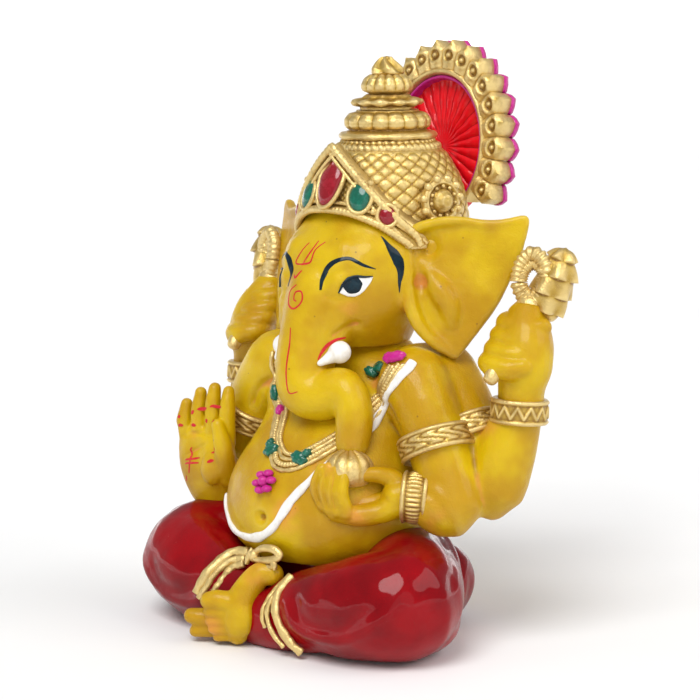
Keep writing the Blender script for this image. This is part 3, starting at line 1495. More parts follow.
@dataclass
class Crown:
    """The latticed dome, the tiara with its stones, the rosettes and the tiers above."""

    set_back: float = 12.0
    wall: float = 1.2
    reach_line: list[tuple[float, float]] = field(
        default_factory=lambda: [(81, 18.8), (87, 18.6), (91, 18.0), (97, 16.8), (107, 15.4)]
    )

    def reach(self, z: Array | float) -> Array:
        """How far the tiara's back stands from the crown's axis at a height."""
        heights, reaches = zip(*self.reach_line)
        return np.interp(z, heights, reaches)

    def axis(self, z: float = 0.0) -> Matrix:
        """The crown's axis at a height."""
        return Matrix.Translation((0, self.set_back, z))

    def dome(self, bench: Bench, paints: Paints) -> None:
        """The dome with its lattice of cushions."""
        profile = [
            (0, 84), (16.4, 84), (17, 84.4), (17.5, 88), (16.9, 93), (15.6, 97.4), (13.6, 101), (12, 103.4),
            (11, 104), (0, 104),
        ]
        line = np.array([(r, z, 0.0) for r, z in profile])
        along = travel(line)
        low, high = along[2] / along[-1], along[7] / along[-1]

        def cushions(angle: Array, share: Array) -> Array:
            """Diamond cushions between thin grooves."""
            s = np.clip((share - low) / (high - low), 0, 1)
            a = 26 * angle / math.pi + 13 * s
            b = 26 * angle / math.pi - 13 * s
            swell = np.abs(np.sin(math.pi * a / 2) * np.sin(math.pi * b / 2)) ** 0.3
            on = ease((share - low) * 40) * ease((high - share) * 40)
            return (0.55 * swell - 0.2) * on

        form = Form().turned(profile, 480, 170, cushions, self.axis())
        bench.place("dome_lattice", form.mesh("dome"), paints.gold, "gold_paint", "dome")

    def tiers(self, bench: Bench, paints: Paints) -> None:
        """The bead ring and the turned tiers up to the finial."""

        def rope(angle: Array, share: Array) -> Array:
            """Slanting strands."""
            return 0.34 * np.abs(np.sin(22 * angle + math.pi * share * 4)) ** 0.7 - 0.1

        def lotus(angle: Array, share: Array) -> Array:
            """A beaded lower rim with small petals over it."""
            lip = 0.16 * np.sin(9 * angle) * np.exp(-(((share - 0.42) / 0.06) ** 2))
            lobes = 0.5 * np.abs(np.sin(8 * angle)) ** 0.8 * ease((share - 0.5) * 12) * ease((0.76 - share) * 10)
            return lip + lobes

        def wavy(angle: Array, share: Array) -> Array:
            """A thin lip that is not quite even."""
            wave = 0.2 * np.sin(11 * angle) + 0.1 * np.sin(5 * angle + 1)
            return wave * ease((share - 0.3) * 8) * ease((0.8 - share) * 8)

        def bulb(angle: Array, share: Array) -> Array:
            """Upright petals."""
            return 0.4 * np.abs(np.sin(7 * angle)) * ease((share - 0.35) * 8) * ease((0.85 - share) * 8)

        def swirl(angle: Array, share: Array) -> Array:
            """Flutes that turn as they climb."""
            return 0.34 * np.sin(5 * angle + 9 * share) * ease((share - 0.3) * 6) * ease((0.97 - share) * 10)

        jobs = [
            (
                "bead_ring", 103,
                [(0, 0), (10.4, 0), (11.2, 0.2), (11.7, 0.9), (11.3, 1.6), (10.4, 1.9), (10.2, 2.6), (0, 2.6)],
                340, 60, rope,
            ),
            (
                "lotus_tier", 105.6,
                [
                    (0, 0), (9.6, 0), (10.6, 0.3), (10.9, 0.9), (10.4, 1.5), (8.6, 2.0), (8.4, 2.4), (9.1, 3.2),
                    (9.2, 4.2), (8.4, 5.2), (7.0, 5.9), (6.8, 6.4), (0, 6.4),
                ],
                320, 110, lotus,
            ),
            (
                "lip_tier", 112,
                [
                    (0, 0), (6.0, 0), (6.0, 0.9), (7.6, 1.2), (8.0, 1.7), (7.6, 2.2), (5.6, 2.5), (4.6, 3.4),
                    (0, 3.4),
                ],
                200, 60, wavy,
            ),
            (
                "bulb_tier", 115.4, [(0, 0), (3.8, 0), (5.2, 0.8), (5.4, 1.9), (4.8, 3.2), (3.6, 4), (0, 4)],
                168, 50, bulb,
            ),
            (
                "finial", 119.4,
                [(0, 0), (3.0, 0), (3.6, 0.7), (3.3, 1.6), (2.4, 2.6), (1.4, 3.6), (0.5, 4.15), (0, 4.3)], 120,
                60, swirl,
            ),
        ]
        for name, z, profile, round_steps, rows, carve in jobs:
            form = Form().turned(profile, round_steps, rows, carve, self.axis(z))
            bench.place(f"{name}_turning", form.mesh(name), paints.gold, "gold_paint", name)

    def edges(self) -> tuple[Array, Array]:
        """The tiara's upper and lower edges from end to end, as x and z."""
        upper = [(18.6, 83), (17.4, 87), (12, 93.5), (5.5, 100.4), (0, 105.4)]
        lower = [(16.9, 83), (16.0, 84.6), (12, 88.2), (6, 90.6), (0, 91.2)]
        whole = []
        for edge in (upper, lower):
            half = spline([(x, z, 0) for x, z in edge], 6)
            whole.append(np.vstack([half, (half * (-1, 1, 1))[-2::-1]]))
        return whole[0], whole[1]

    def on_tiara(self, x: Array, z: Array, proud: Array | float) -> Array:
        """The point of the tiara's face at x and z, raised by an amount."""
        r = self.reach(z) + proud
        return np.stack([x, self.set_back - np.sqrt(np.maximum(r**2 - x**2, 0.01)), z], axis=1)

    def tiara(self, bench: Bench, paints: Paints) -> None:
        """The pointed plate: a sunk, dotted field inside a double raised rim."""
        upper, lower = self.edges()
        form = Form()

        def plate(u: Array, v: Array) -> Array:
            """Front and back of the plate round its edge."""
            up, low = at_share(upper, u), at_share(lower, u)
            front = np.minimum(v, 1 - v) * 2
            spot = low + (up - low) * front[:, None]
            tall = np.linalg.norm(up - low, axis=1)
            edge = np.minimum(front, 1 - front) * tall
            sunk = 0.45 * ease((edge - 0.9) / 0.8)
            dots = 0.12 * np.sin(spot[:, 0] * 5.2) * np.sin(spot[:, 1] * 5.2) * ease((edge - 1.6) / 1.0)
            proud = np.where(v < 0.5, self.wall - sunk + dots, -0.9)
            end = (u < 0.001) | (u > 0.999)
            return self.on_tiara(spot[:, 0], spot[:, 1], np.where(end, 0.4, proud))

        form.wrap(220, 90, plate)
        for inset, size, stand in ((0.35, 0.85, 1.5), (2.0, 0.45, 1.35)):
            for edge, sign in ((upper, -1), (lower, 1)):
                centre = at_share(edge, np.linspace(0.012, 0.988, 120))
                way = unit(np.gradient(centre, axis=0))
                side = np.stack([-way[:, 1], way[:, 0], 0 * way[:, 0]], axis=1)
                moved = centre + side * inset * -sign
                spots = self.on_tiara(moved[:, 0], moved[:, 1], stand)
                form.strand(
                    spots, 260, 10,
                    lambda u, a, size=size: np.full((len(u), 2), size) * (1 + 0.05 * np.sin(300 * u))[:, None],
                    BACK,
                )
        for x, z, r in (
            (9.6, 97.2, 0.8), (14.6, 91.4, 0.7), (4.0, 101.6, 0.7), (10.8, 91.2, 0.7), (5.6, 93.4, 0.75),
        ):
            for s in (-1, 1):
                form.ball(self.on_tiara(np.array([s * x]), np.array([z]), 1.4)[0], r, rounds=2)
        bench.place("tiara_plate", form.mesh("tiara"), paints.gold, "gold_paint", "tiara")

    def stone_place(self, turn: float, z: float, lean: float, proud: float = 1.5) -> Matrix:
        """A stone's own place on the tiara: X across, Y out of the face and Z up."""
        spin = Matrix.Rotation(math.radians(turn), 4, "Z")
        out = Matrix.Translation((0, -float(self.reach(z)) - proud, 0))
        tilt = Matrix.Rotation(math.radians(lean), 4, "X")
        return self.axis(z) @ spin @ out @ tilt @ Matrix.Rotation(math.pi / 2, 4, "X")

    def stones(self, bench: Bench, paints: Paints) -> None:
        """The teardrop, the green ovals and the small rubies, each in a gold bezel."""
        bezels = Form()

        def gem(form: Form, place: Matrix, wide: float, tall: float, thick: float, drop: float) -> None:
            """One domed stone and the bezel round it."""

            def shape(u: Array, grow: float = 0.0) -> tuple[Array, Array]:
                """The outline at an angle, drawn to a point at the top by drop."""
                angle = 2 * math.pi * u
                x = (wide + grow) * np.cos(angle)
                y = (tall + grow) * np.sin(angle)
                x = x * (1 - drop * ease(np.maximum(y, 0) / tall) * 0.85)
                return x, y + drop * 0.1 * tall

            def domed(u: Array, v: Array) -> Array:
                """The stone's face and its flat back."""
                x, y = shape(u)
                rim = np.where(v < 0.8, np.sin(v / 0.8 * math.pi / 2), (1 - v) / 0.2)
                high = np.where(v < 0.8, thick * np.cos(v / 0.8 * math.pi / 2), -0.3)
                return np.stack([x * rim, y * rim, high], axis=1)

            def bezel(u: Array, v: Array) -> Array:
                """A round wire along the outline."""
                x, y = shape(u, 0.35)
                across = 0.5 * np.cos(2 * math.pi * v)
                length = np.sqrt(x * x + y * y)
                return np.stack(
                    [
                        x * (1 + across / length), y * (1 + across / length),
                        0.55 * np.sin(2 * math.pi * v) + 0.1,
                    ],
                    axis=1,
                )

            form.wrap(48, 20, domed, place)
            bezels.wrap(64, 10, bezel, place)

        tear = Form()
        gem(tear, self.stone_place(1.5, 97.6, -26, 1.3), 3.1, 6.6, 1.6, 1.0)
        bench.place("teardrop_stone", tear.mesh("tear"), paints.ruby, "ruby_enamel", "teardrop_gem")
        green = Form()
        red = Form()
        for s in (-1, 1):
            gem(green, self.stone_place(s * 23.5 + 1.5, 94.2, -20), 2.4, 3.1, 1.1, 0.0)
            gem(red, self.stone_place(s * 43, 90.4, -12), 1.8, 2.0, 1.0, 0.0)
        bench.place("green_stones", green.mesh("green"), paints.green, "green_enamel", "green_gems")
        bench.place("red_stones", red.mesh("red"), paints.ruby, "ruby_enamel", "red_gems")
        bench.place("stone_bezels", bezels.mesh("bezels"), paints.gold, "gold_paint")

    def rosettes(self, bench: Bench, paints: Paints) -> None:
        """The bossed rosette on each side of the dome."""
        for side in Side:
            form = Form()
            turn = Matrix.Translation((18.2, self.set_back - 2.5, 93)) @ Euler(
                (0, math.pi / 2, math.radians(-10)), "XYZ",
            ).to_matrix().to_4x4()
            place = Matrix.Diagonal((side.value, 1, 1, 1)) @ turn
            disc = [
                (0, -1.4), (4.6, -1.4), (4.8, 0.2), (4.0, 0.7), (3.3, 0.1), (2.7, 0.2), (2.2, 1.2), (1.2, 2.1),
                (0, 2.3),
            ]
            form.turned(disc, 96, 50, None, place)
            for k in range(11):
                t = 2 * math.pi * k / 11
                form.ball(place @ Vector((4.8 * math.cos(t), 4.8 * math.sin(t), 0.1)), 0.95, rounds=2)
                form.ball(
                    place @ Vector((3.2 * math.cos(t + 0.28), 3.2 * math.sin(t + 0.28), 0.5)), 0.42, rounds=2,
                )
            for k in range(3):
                form.ball(place @ Vector((5.6 + 0.2 * k, (k - 1) * 1.7, -0.3)), 0.75, rounds=2)
            bench.place(
                f"{side.word}_rosette_boss", form.mesh("rosette"), paints.gold, "gold_paint",
                f"{side.word}_rosette",
            )

    def build(self, bench: Bench, paints: Paints) -> None:
        """Builds the crown."""
        self.dome(bench, paints)
        self.tiers(bench, paints)
        self.tiara(bench, paints)
        self.stones(bench, paints)
        self.rosettes(bench, paints)


@dataclass
class Halo:
    """The ring of petals behind the crown and the fluted field inside it."""

    radius: float = 24.0
    centre: tuple[float, float, float] = (0, 29.5, 103)
    lean: float = 8.0
    narrow: float = 0.84
    count: int = 26
    depth: float = 6.0
    foot: float = 86.0

    def place(self) -> Matrix:
        """The halo's own drawing taken to its place: X across, Y up, Z forwards."""
        return Matrix.Translation(self.centre) @ Matrix.Rotation(math.radians(90 - self.lean), 4, "X")

    def spread(self, angle: float | Array, reach: float | Array, out: float | Array) -> Array:
        """A point at an angle from the top, a distance from the centre and a height towards the front."""
        return np.stack(
            np.broadcast_arrays(self.narrow * reach * np.sin(angle), reach * np.cos(angle), out), axis=-1,
        )

    def petals(self, bench: Bench, paints: Paints) -> None:
        """Pointed petals with a beaded cell in each, and their painted backs."""
        gold, back = Form(), Form()
        front = self.depth / 2
        step = 2 * math.pi / self.count
        highest = math.acos((self.foot - self.centre[2] + 2) / self.radius)
        shape = [(17.0, 1.0), (19.6, 1.0), (21.8, 0.98), (23.1, 0.52), (24.0, 0.0)]
        reaches, widths = (np.array(c) for c in zip(*shape))
        for k in range(-self.count // 2, self.count // 2):
            middle = (k + 0.5) * step
            if abs(middle) > highest:
                continue

            def petal(u: Array, v: Array, middle: float = middle) -> Array:
                """Front face, sides and back of one petal."""
                reach = 17.0 + 7.0 * u
                full = ease(u * 22)
                half = np.interp(reach, reaches, widths) * step / 2 * full
                lap = np.interp(v, [0, 0.04, 0.5, 0.53, 1], [-1, -1, 1, 1, -1])
                facing = (v > 0.02) & (v < 0.51)
                out = np.where(
                    facing, front - 0.9 * np.abs(lap) ** 2.5 - 0.8 * ease((reach - 21) / 3.4), -front,
                )
                cell = np.hypot((reach - 20.4) / 1.75, lap * half * reach * self.narrow / 1.75)
                out = np.where(
                    facing,
                    out - 0.6 * (1 - ease((cell - 0.55) / 0.35)) + 0.25 * np.exp(-(((cell - 1) / 0.16) ** 2)),
                    out,
                )
                reach = np.where(facing, reach, reach + 0.2 * (reach > 22))
                return self.spread(middle + lap * half, reach, out * full)

            gold.wrap(22, 28, petal)

            def rear(u: Array, v: Array, middle: float = middle) -> Array:
                """The painted rear edge of one petal."""
                lap = 2 * v - 1
                corner = np.round(u * 4).astype(int) % 4
                outer = np.interp(np.abs(lap), [0, 0.52, 0.98, 1], [24.3, 23.4, 22.1, 21.6])
                reach = np.where((corner == 1) | (corner == 2), outer, 21.6)
                return self.spread(
                    middle + lap * step / 2, reach, np.where(corner < 2, -front + 1.2, -front - 0.1),
                )

            back.wrap(4, 16, rear)
            spot = self.spread(middle, 20.4, front - 0.5)
            gold.ball(spot, 0.62, rounds=2)
        inner = [
            (15.9, front - 1.4), (16.2, front - 0.3), (16.9, front + 0.1), (17.5, front - 0.5),
            (17.6, front - 2), (17.2, -front), (15.9, -front),
        ]
        outer = [
            (14.9, front - 3.4), (15.1, front - 1.2), (15.5, front - 0.8), (15.9, front - 1.2), (16.0, -front),
            (14.9, -front),
        ]
        for form, loop in ((gold, inner), (back, outer)):
            line = np.array([(*p, 0.0) for p in (*loop, loop[0])])

            def rim(u: Array, v: Array, line: Array = line) -> Array:
                """A band that follows the oval."""
                rz = at_share(line, v)
                return self.spread((u * 2 - 1) * highest * 1.04, rz[:, 0], rz[:, 1])

            form.wrap(180, 28, rim)
        for form in (gold, back):
            bmesh.ops.transform(form.bm, matrix=self.place(), verts=form.bm.verts)
        bench.place("halo_petals", gold.mesh("petals"), paints.gold, "gold_paint", "halo_ring")
        bench.place("halo_inner_rim", back.mesh("rim"), paints.magenta, "magenta_enamel")

    def field(self, bench: Bench, paints: Paints) -> None:
        """The scarlet field with broad flutes from its middle to its rim."""
        form = Form()

        def flutes(u: Array, v: Array) -> Array:
            """Front, edge and back of the field."""
            angle = 2 * math.pi * u
            reach = np.where(v < 0.7, v / 0.7, (1 - v) / 0.3) * 15.6
            wave = 0.55 * np.abs(np.sin(14 * angle)) ** 0.8 * ease(reach / 9)
            out = np.where(v < 0.7, -0.4 + wave + 0.1 * np.sin(reach * 1.3), -2.6)
            return self.spread(angle, reach, out)

        form.wrap(336, 60, flutes, self.place())
        bench.place("halo_field", form.mesh("field"), paints.scarlet, "scarlet_enamel", "halo_panel")

    def build(self, bench: Bench, paints: Paints) -> None:
        """Builds the halo."""
        self.petals(bench, paints)
        self.field(bench, paints)


# ---------------------------------------------------------------- what the idol wears


class Weave(Enum):
    """The patterns raised on the bands."""

    ZIGZAG = "zigzag"
    BEADS = "beads"
    SCROLL = "scroll"


@dataclass
class Jewels:
    """Bands on the arms, the necklace with its stones, the pendant and the white cord."""

    torso: Surface

    def band(
        self, form: Form, at: Array, towards: Array, radius: float, width: float, weave: Weave,
    ) -> None:
        """A closed band with two rims and a raised pattern between them."""
        wall = 0.9
        w = width / 2
        rim = 0.45
        loop = [
            (radius - 0.5, -w), (radius + wall, -w - 0.2), (
                radius + wall + rim, -w + 0.35,
            ), (radius + wall, -w + 0.9),
            (radius + wall, w - 0.9), (
                radius + wall + rim, w - 0.35,
            ), (radius + wall, w + 0.2), (radius - 0.5, w),
        ]
        line = np.array([(r, z, 0.0) for r, z in (*loop, loop[0])])

        def raised(angle: Array, share: Array) -> Array:
            """The pattern between the rims."""
            z = at_share(line, share)[:, 1]
            across = z / max(w - 0.9, 0.1)
            inside = ease((1.1 - np.abs(across)) * 6) * (at_share(line, share)[:, 0] > radius + wall - 0.2)
            if weave is Weave.ZIGZAG:
                tooth = np.abs((angle * 13 / math.pi) % 2 - 1) * 2 - 1
                pattern = np.exp(-(((across - tooth * 0.8) / 0.4) ** 2))
            elif weave is Weave.BEADS:
                pattern = np.abs(np.sin(16 * angle)) * (1 - across**2)
            else:
                pattern = np.abs(np.sin(7 * angle + 2.2 * np.sin(across * 2.4)))
            return 0.42 * pattern * inside

        turn = along(towards - at)
        form.turned(
            loop, 220, 44, raised, Matrix.Translation(at) @ turn,
            closed=True,
        )

    def bands(self, bench: Bench, paints: Paints) -> None:
        """Armlets and bangles on the four arms."""
        for arm in ARMS:
            elbow, wrist = np.array(arm.elbow), np.array(arm.wrist)
            form = Form()
            at = arm.part_way(0.52) + np.array([0.8 * math.copysign(1, elbow[0]), 0, 0.5])
            self.band(form, at, elbow, arm.radius - 0.2, 4.6, Weave.SCROLL)
            name = arm.name.replace("arm", "armlet")
            bench.place(f"{name}_band", form.mesh(name), paints.gold, "gold_paint", name)
            form = Form()
            name = arm.name.replace("arm", "bangle")
            if "rear" in arm.name:
                self.band(form, elbow + (wrist - elbow) * 0.97, wrist + (0, 0.6, 8), 4.9, 4.8, Weave.ZIGZAG)
            elif "left" in arm.name:
                self.band(form, wrist + (0.6, 0.4, 0), wrist + (-6, -4.5, 0.6), 4.3, 5.2, Weave.BEADS)
            else:
                self.band(form, wrist, wrist + (0.6, -4, -0.8), 4.5, 3.4, Weave.BEADS)
            bench.place(f"{name}_band", form.mesh(name), paints.gold, "gold_paint", name)

    def laid(self, stations: Stations, rows: int) -> tuple[Array, Array]:
        """A path dropped on the torso from the front, with the torso's directions along it."""
        path = spline([(x, -60, z) for x, z in stations], 8)
        spots = np.array([self.torso.drop(p, (0, 1, 0)) for p in path])
        spots = at_share(spots, np.linspace(0, 1, rows))
        return self.torso.nearest(spots)

    def necklace(self, bench: Bench, paints: Paints) -> None:
        """Strands of beads and a plaited middle, from shoulder to shoulder."""
        line = [
            (-15.5, 59), (-14.6, 54.5), (-11, 50), (-6, 46), (-2.4, 41.8), (1.4, 39.2), (5.4, 39.3), (8.4, 41),
            (11.6, 43.8), (14.4, 47.6), (17, 52), (20, 56.6), (21.6, 60),
        ]
        form = Form()
        for shift, size, beads in ((1.5, 0.5, 30), (0.5, 0.62, 96), (-0.5, 0.5, 24), (-1.4, 0.56, 110)):
            rows = []
            for x, z in line:
                away = math.atan2(z - 56, x - 1)
                rows.append((x + shift * math.cos(away), z + shift * math.sin(away)))
            spots, facing = self.laid(rows, 110)
            form.strand(
                spots + facing * size * 0.45,
                beads * 5,
                10,
                lambda u, a, size=size, beads=beads: np.stack(
                    [size * (0.82 + 0.26 * np.abs(np.sin(math.pi * beads * u)))] * 2, axis=1
                ),
                facing,
            )
        bench.place("necklace_strands", form.mesh("necklace"), paints.gold, "gold_paint", "necklace")

    def stones(self, bench: Bench, paints: Paints) -> None:
        """Green and magenta leaves on the necklace, and the flower that hangs from it."""
        green, magenta = Form(), Form()
        spots = {
            "green": [
                (-2.6, 40.4, 1.9, 1.5, 30), (6.1, 39.9, 2.1, 1.5, -20), (-3.6, 41.6, 1.2, 0.9, 70),
                (7.4, 40.9, 1.2, 0.9, 40), (13.6, 57.8, 2.5, 1.4, 20), (11.8, 56.9, 1.7, 1.1, -25),
                (-11.6, 50.8, 1.9, 1.1, -65),
            ],
            "magenta": [
                (20.6, 61.0, 2.4, 1.3, 20), (18.8, 60.6, 1.6, 1.2, -20), (12.6, 53.4, 1.2, 0.9, 60),
                (-14.4, 54.8, 1.8, 1.2, -80), (-7.6, 47.4, 1.4, 0.9, -50), (13.6, 47.2, 1.2, 0.9, 60),
            ],
        }
        for form, key in ((green, "green"), (magenta, "magenta")):
            for x, z, long, wide, turn in spots[key]:
                at, facing = self.laid([(x, z), (x + 0.01, z)], 2)
                spin = Euler((0, 0, math.radians(turn))).to_quaternion()
                quat = Vector(facing[0]).to_track_quat("Z", "Y") @ spin
                place = Matrix.Translation(at[0] + facing[0] * 0.9) @ quat.to_matrix().to_4x4()
                form.turned(
                    [(0, -0.8), (0.9, -0.7), (1, 0), (0.85, 0.45), (0.4, 0.75), (0, 0.8)], 32, 16,
                    lambda a, v: 0.08 * np.sin(6 * a) * ease(v * 3),
                    place @ Matrix.Diagonal((long, wide, 1, 1)), smooth=True,
                )
        flower = Form()
        at, facing = self.laid([(0, 34.8), (0.01, 34.8)], 2)
        place = Matrix.Translation(at[0] + facing[0] * 0.3) @ along(facing[0])
        flower.ball(place @ Vector((0, 0, 0.6)), 1.15, rounds=3)
        for k in range(6):
            t = math.pi * k / 3 + 0.3
            flower.ball(
                place @ Vector((2.0 * math.cos(t), 2.0 * math.sin(t), 0.3)), (1.15, 1.15, 0.8), rounds=3,
            )
        bench.place(
            "necklace_leaves_green", green.mesh("green_leaves"), paints.green, "green_enamel", "necklace_stones",
        )
        bench.place("necklace_leaves_magenta", magenta.mesh("magenta_leaves"), paints.magenta, "magenta_enamel")
        bench.place("pendant_flower", flower.mesh("pendant"), paints.magenta, "magenta_enamel", "pendant")

    def thread(self, bench: Bench, paints: Paints) -> None:
        """The flat white cord from the left shoulder round the belly."""
        line = [
            (24.2, 60.8), (24.0, 59), (21.5, 55.5), (18.4, 51.6), (16.6, 47.6), (14.2, 42), (11.2, 37.4),
            (9.3, 34.4), (7.5, 31.8), (5.7, 28.7), (3.3, 25.6), (-0.4, 23.3), (-5.1, 22.2), (-11, 22.4),
            (-16, 24.6), (-20.5, 28),
        ]
        spots, facing = self.laid(line, 140)
        form = Form()
        form.strand(
            spots + facing * 0.15,
            220,
            14,
            lambda u, a: np.stack(
                [0.98 + 0.12 * np.sin(37 * u) + 0.08 * np.sin(91 * u), 0.55 + 0.06 * np.sin(53 * u)], axis=1,
            ),
            facing,
        )
        bench.place("sacred_thread_cord", form.mesh("thread"), paints.white, "white_paint", "sacred_thread")

    def build(self, bench: Bench, paints: Paints) -> None:
        """Builds all that the idol wears."""
        self.bands(bench, paints)
        self.necklace(bench, paints)
        self.stones(bench, paints)
        self.thread(bench, paints)


@dataclass(frozen=True)
class Stroke:
    """One touch of the brush: its line, its width along it and how proud it stands."""

    name: str
    line: tuple[tuple[float, float, float], ...]
    widths: tuple[float, ...]
    lift: float = 0.07


@dataclass
class Brush:
    """Lays strokes of paint on a surface."""

    surface: Surface

    def lay(self, form: Form, stroke: Stroke, ways: int = 8) -> None:
        """Adds one stroke, closed underneath, to a form."""
        LOG.debug("laying %s", stroke.name)
        rows = spline(stroke.line, 8)
        length = travel(rows)[-1]
        count = max(8, int(length / 0.3))
        spots, facing = self.surface.nearest(at_share(rows, np.linspace(0, 1, count + 1)))
        side = unit(np.cross(facing, unit(np.gradient(spots, axis=0))))

        def touch(u: Array, v: Array) -> Array:
            """The stroke's surface."""
            here = at_share(np.hstack([spots, facing, side]), u)
            half = np.interp(u, np.linspace(0, 1, len(stroke.widths)), stroke.widths) / 2
            angle = 2 * math.pi * v
            base = here[:, :3] + here[:, 6:] * (np.cos(angle) * half)[:, None]
            on, out = self.surface.nearest(base)
            up = np.sin(angle)
            return on + out * np.where(up > 0, stroke.lift * np.abs(up) ** 0.4, 0.22 * up)[:, None]

        form.wrap(count, 2 * ways, touch)


EYE_ROUND = (0.4, 2.6, 3.5, 3.8, 3.9, 3.8, 3.5, 2.6, 0.4)

EYE_WHITE = (
    Stroke(
        "eye",
        (
            (9.0, -12.8, 74.8), (9.8, -11.7, 75.3), (10.8, -10.4, 75.9), (12.1, -9.2, 76.6), (13.1, -8.2, 77.2),
            (13.8, -7.5, 77.9),
        ),
        (0.3, 3.2, 4.4, 4.3, 3.4, 1.8, 0.2),
        0.2,
    ),
)

FACE_INK = (
    Stroke("iris", ((9.5, -12.1, 75.9), (10.7, -10.5, 76.2), (12.3, -9.1, 76.5)), EYE_ROUND, 0.32),
    Stroke(
        "lid",
        (
            (8.9, -12.9, 74.6), (9.5, -12.1, 76.4), (10.1, -11.1, 77.5), (11.1, -9.8, 78.0), (12.5, -8.7, 77.9),
            (13.8, -7.5, 78.0),
        ),
        (0.3, 0.6, 0.7, 0.6, 0.5, 0.2),
        0.42,
    ),
    Stroke(
        "brow",
        (
            (5.0, -14.4, 75.1), (4.8, -13.7, 77.1), (5.3, -13.1, 79.0), (6.5, -12.5, 80.6), (8.1, -11.7, 81.5),
            (9.8, -10.4, 81.8), (11.2, -9.6, 81.1), (12.6, -8.7, 80.3), (14.1, -6.8, 79.5),
        ),
        (0.5, 0.9, 1.5, 1.4, 1.0, 0.8, 0.8, 0.6, 0.15),
    ),
    Stroke(
        "hair",
        (
            (12.7, -3.6, 86.1), (14.8, -3.2, 83.8), (15.9, -2.6, 82.2), (16.5, -2.0, 80.3), (16.9, -2.0, 78.5),
            (17.0, -2.4, 76.8), (17.2, -2.8, 74.3),
        ),
        (0.2, 1.0, 2.2, 2.6, 1.6, 0.8, 0.15),
    ),
)

FACE_LINES = (
    Stroke(
        "lip",
        ((6.1, -16.6, 60.5), (6.2, -15.7, 61.8), (7.2, -14.6, 63.6), (8.6, -13.2, 64.7), (9.4, -11.2, 64.9)),
        (0.3, 0.7, 0.8, 0.6, 0.3),
    ),
)

TILAK_LINES = (
    Stroke(
        "leaf_left", ((-1.8, -13.2, 80.0), (-4.0, -12.9, 80.2), (-3.1, -12.4, 82.2), (-1.8, -10.8, 84.5)),
        (0.3, 0.4, 0.3),
    ),
    Stroke(
        "leaf_right", ((-1.8, -13.2, 80.0), (0.7, -13.1, 80.7), (1.2, -12.0, 83.2), (2.7, -10.4, 84.9)),
        (0.5, 0.4, 0.3),
    ),
    Stroke("leaf_middle", ((-1.3, -13.1, 80.4), (0.2, -12.1, 83.1), (0.7, -10.4, 85.0)), (0.3, 0.5, 0.3)),
    Stroke("tick", ((-3.2, -14.4, 77.9), (-2.1, -14.9, 77.3), (-0.8, -14.2, 78.9)), (0.3, 0.6, 0.4)),
    Stroke(
        "curl",
        (
            (-0.9, -15.7, 76.0), (-3.0, -15.6, 74.2), (-2.6, -16.6, 71.8), (-0.3, -17.3, 71.0), (1.5, -16.8, 72.6),
            (1.0, -16.3, 74.6), (-0.8, -16.3, 74.4), (-1.0, -16.8, 73.0), (0.0, -17.0, 72.6),
        ),
        (0.3, 0.45, 0.4, 0.3),
    ),
    Stroke(
        "nose_line",
        (
            (0.1, -18.7, 67.1), (0.7, -19.6, 64.0), (0.9, -20.5, 61.2), (1.2, -21.3, 58.4), (2.0, -21.9, 54.9),
            (2.8, -21.8, 53.6), (4.6, -21.3, 54.1),
        ),
        (0.25, 0.4, 0.4, 0.35, 0.2),
    ),
)

PALM_LINES = tuple(
    Stroke(
        f"palm_{k + 1}", ((x0, -4.0, z0), ((x0 + x1) / 2, -4.0, (z0 + z1) / 2 + 0.1), (x1, -4.0, z1)),
        (0.35, wide, wide, 0.3),
    )
    for k, (x0, z0, x1, z1, wide) in enumerate(
        (
            (-7.3, 43.5, -5.8, 44.1, 0.8),
            (-4.1, 44.4, -2.0, 45.2, 0.9),
            (-0.6, 45.7, 1.6, 46.1, 0.9),
            (3.0, 46.4, 5.1, 47.0, 0.8),
            (-7.0, 40.6, -4.3, 41.2, 0.8),
            (-3.8, 41.7, -0.8, 41.7, 0.8),
            (0.6, 42.8, 2.0, 43.1, 1.0),
            (3.5, 43.6, 5.1, 44.1, 0.8),
            (-2.4, 36.7, -3.9, 30.3, 0.5),
            (-5.2, 33.7, -0.4, 35.0, 0.5),
            (-5.2, 32.6, -0.4, 33.8, 0.5),
            (3.9, 37.0, 6.0, 37.5, 0.8),
            (3.4, 34.2, 5.2, 34.8, 0.8),
            (-5.8, 29.4, -6.4, 27.7, 0.5),
        )
    )
)


@dataclass
class Touches:
    """What is painted by brush on the face and on the raised palm."""

    face: Surface
    hands: Hands

    def build(self, bench: Bench, paints: Paints) -> None:
        """Lays every stroke, those of the face on both of its sides."""
        ink, white, line = Form(), Form(), Form()
        brush = Brush(self.face)
        for form, strokes in ((white, EYE_WHITE), (ink, FACE_INK), (line, FACE_LINES)):
            for stroke in strokes:
                for side in Side:
                    brush.lay(form, replace(stroke, line=tuple(side.of(stroke.line))))
        for stroke in TILAK_LINES:
            brush.lay(line, stroke)
        palm = Brush(self.hands.palm)
        red = Form()
        for stroke in PALM_LINES:
            spots = tuple(tuple(self.hands.palm_place @ Vector(p)) for p in stroke.line)
            palm.lay(red, replace(stroke, line=spots))
        bench.place("eye_whites", white.mesh("eye_whites", hollows=False), paints.white, "white_paint")
        bench.place("brow_eye_and_hair_ink", ink.mesh("ink", hollows=False), paints.ink, "teal_ink")
        bench.place("face_lines", line.mesh("face_lines", hollows=False), paints.line, "red_line")
        bench.place("palm_lines", red.mesh("palm_lines", hollows=False), paints.line, "red_line")


